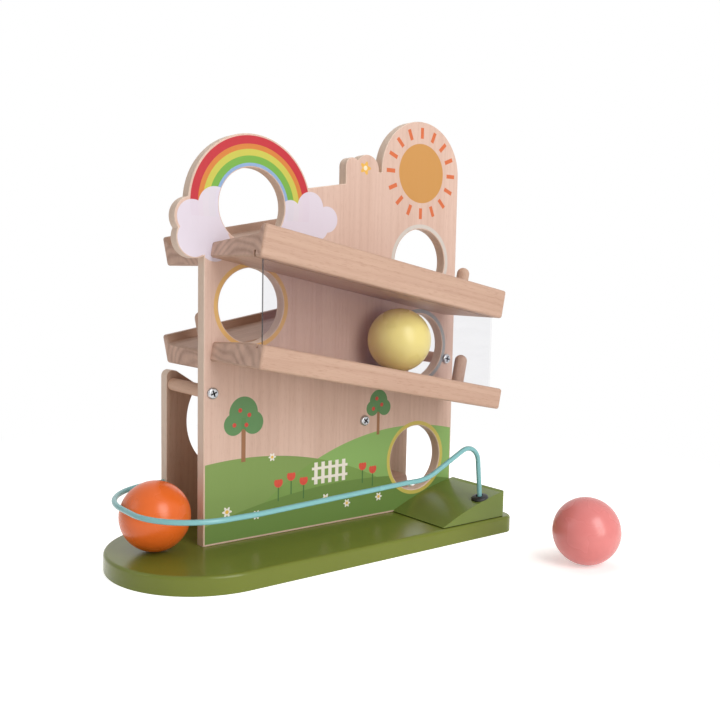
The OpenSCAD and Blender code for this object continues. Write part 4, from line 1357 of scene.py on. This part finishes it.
def make_world():
    world = bpy.data.worlds.new("studio_world")
    bpy.context.scene.world = world
    world.use_nodes = True
    bench = Bench(world.node_tree)
    back = world.node_tree.nodes["Background"]
    seen = bench.seen()
    bench.feed(back.inputs["Color"], bench.blend(seen, WARM_WHITE, WHITE))
    bench.feed(back.inputs["Strength"], bench.span(seen, 0.0, 1.0, WORLD_LEVEL, 1.0))


# Soft boxes round the toy: direction, distance, size, power, colour, and a reflection or none
AIM = Vector((0.0, 0.0, 0.15))
PLAIN = (1.0, 1.0, 1.0)
WARM = (1.0, 0.97, 0.93)
WARMER = (1.0, 0.96, 0.9)
SOFT_BOXES = {
    "key": ((0.01, -0.85, 0.53), 1.7, (0.85, 0.95), 14.2, PLAIN, True),
    "low_front": ((0.04, -0.98, 0.10), 2.0, (0.9, 0.6), 8.9, WARMER, True),
    "top": ((0.15, -0.12, 1.0), 1.6, (0.9, 0.9), 3.5, WARM, False),
    "rear": ((0.22, 0.85, 0.48), 1.8, (0.9, 0.9), 7.5, WARM, False),
    "left": ((-0.86, 0.28, 0.42), 1.8, (0.8, 0.8), 2.2, PLAIN, True),
}


def make_lamp(name, way, distance, size, power, colour, sheen):
    """A soft box that looks at the toy from the direction way, with or without its own sheen."""
    lamp = bpy.data.lights.new(name, "AREA")
    lamp.shape = "RECTANGLE"
    lamp.size, lamp.size_y = size
    lamp.energy = power
    lamp.color = colour
    holder = place_object(name, lamp)
    way = Vector(way).normalized()
    holder.location = AIM + way * distance
    holder.rotation_euler = way.to_track_quat("Z", "Y").to_euler()
    holder.visible_glossy = sheen


# Camera: yaw, pitch and roll in degrees, place in metres, lens and sensor in millimetres
CAMERA_TURN = (37.96, 5.31, -1.1)
CAMERA_AT = (-0.4150, -0.5960, 0.2183)
LENS = 45.28
SENSOR = 36.0
NEAR_CLIP = 0.01


def make_camera():
    yaw, pitch, roll = (math.radians(turn) for turn in CAMERA_TURN)
    ahead = Vector((
        math.sin(yaw) * math.cos(pitch), math.cos(yaw) * math.cos(pitch), -math.sin(pitch)))
    level = Vector((math.cos(yaw), -math.sin(yaw), 0.0))
    under = ahead.cross(level)
    right = level * math.cos(roll) + under * math.sin(roll)
    down = under * math.cos(roll) - level * math.sin(roll)
    lens = bpy.data.cameras.new("photo_camera")
    lens.lens = LENS
    lens.sensor_width = SENSOR
    lens.clip_start = NEAR_CLIP
    camera = place_object("photo_camera", lens)
    stand = Matrix((right, -down, -ahead)).transposed().to_4x4()
    stand.translation = CAMERA_AT
    camera.matrix_world = stand
    bpy.context.scene.camera = camera


make_floor()
make_world()
for name, values in SOFT_BOXES.items():
    make_lamp(name + "_soft_box", *values)
make_camera()
bpy.context.scene.view_settings.view_transform = "Standard"
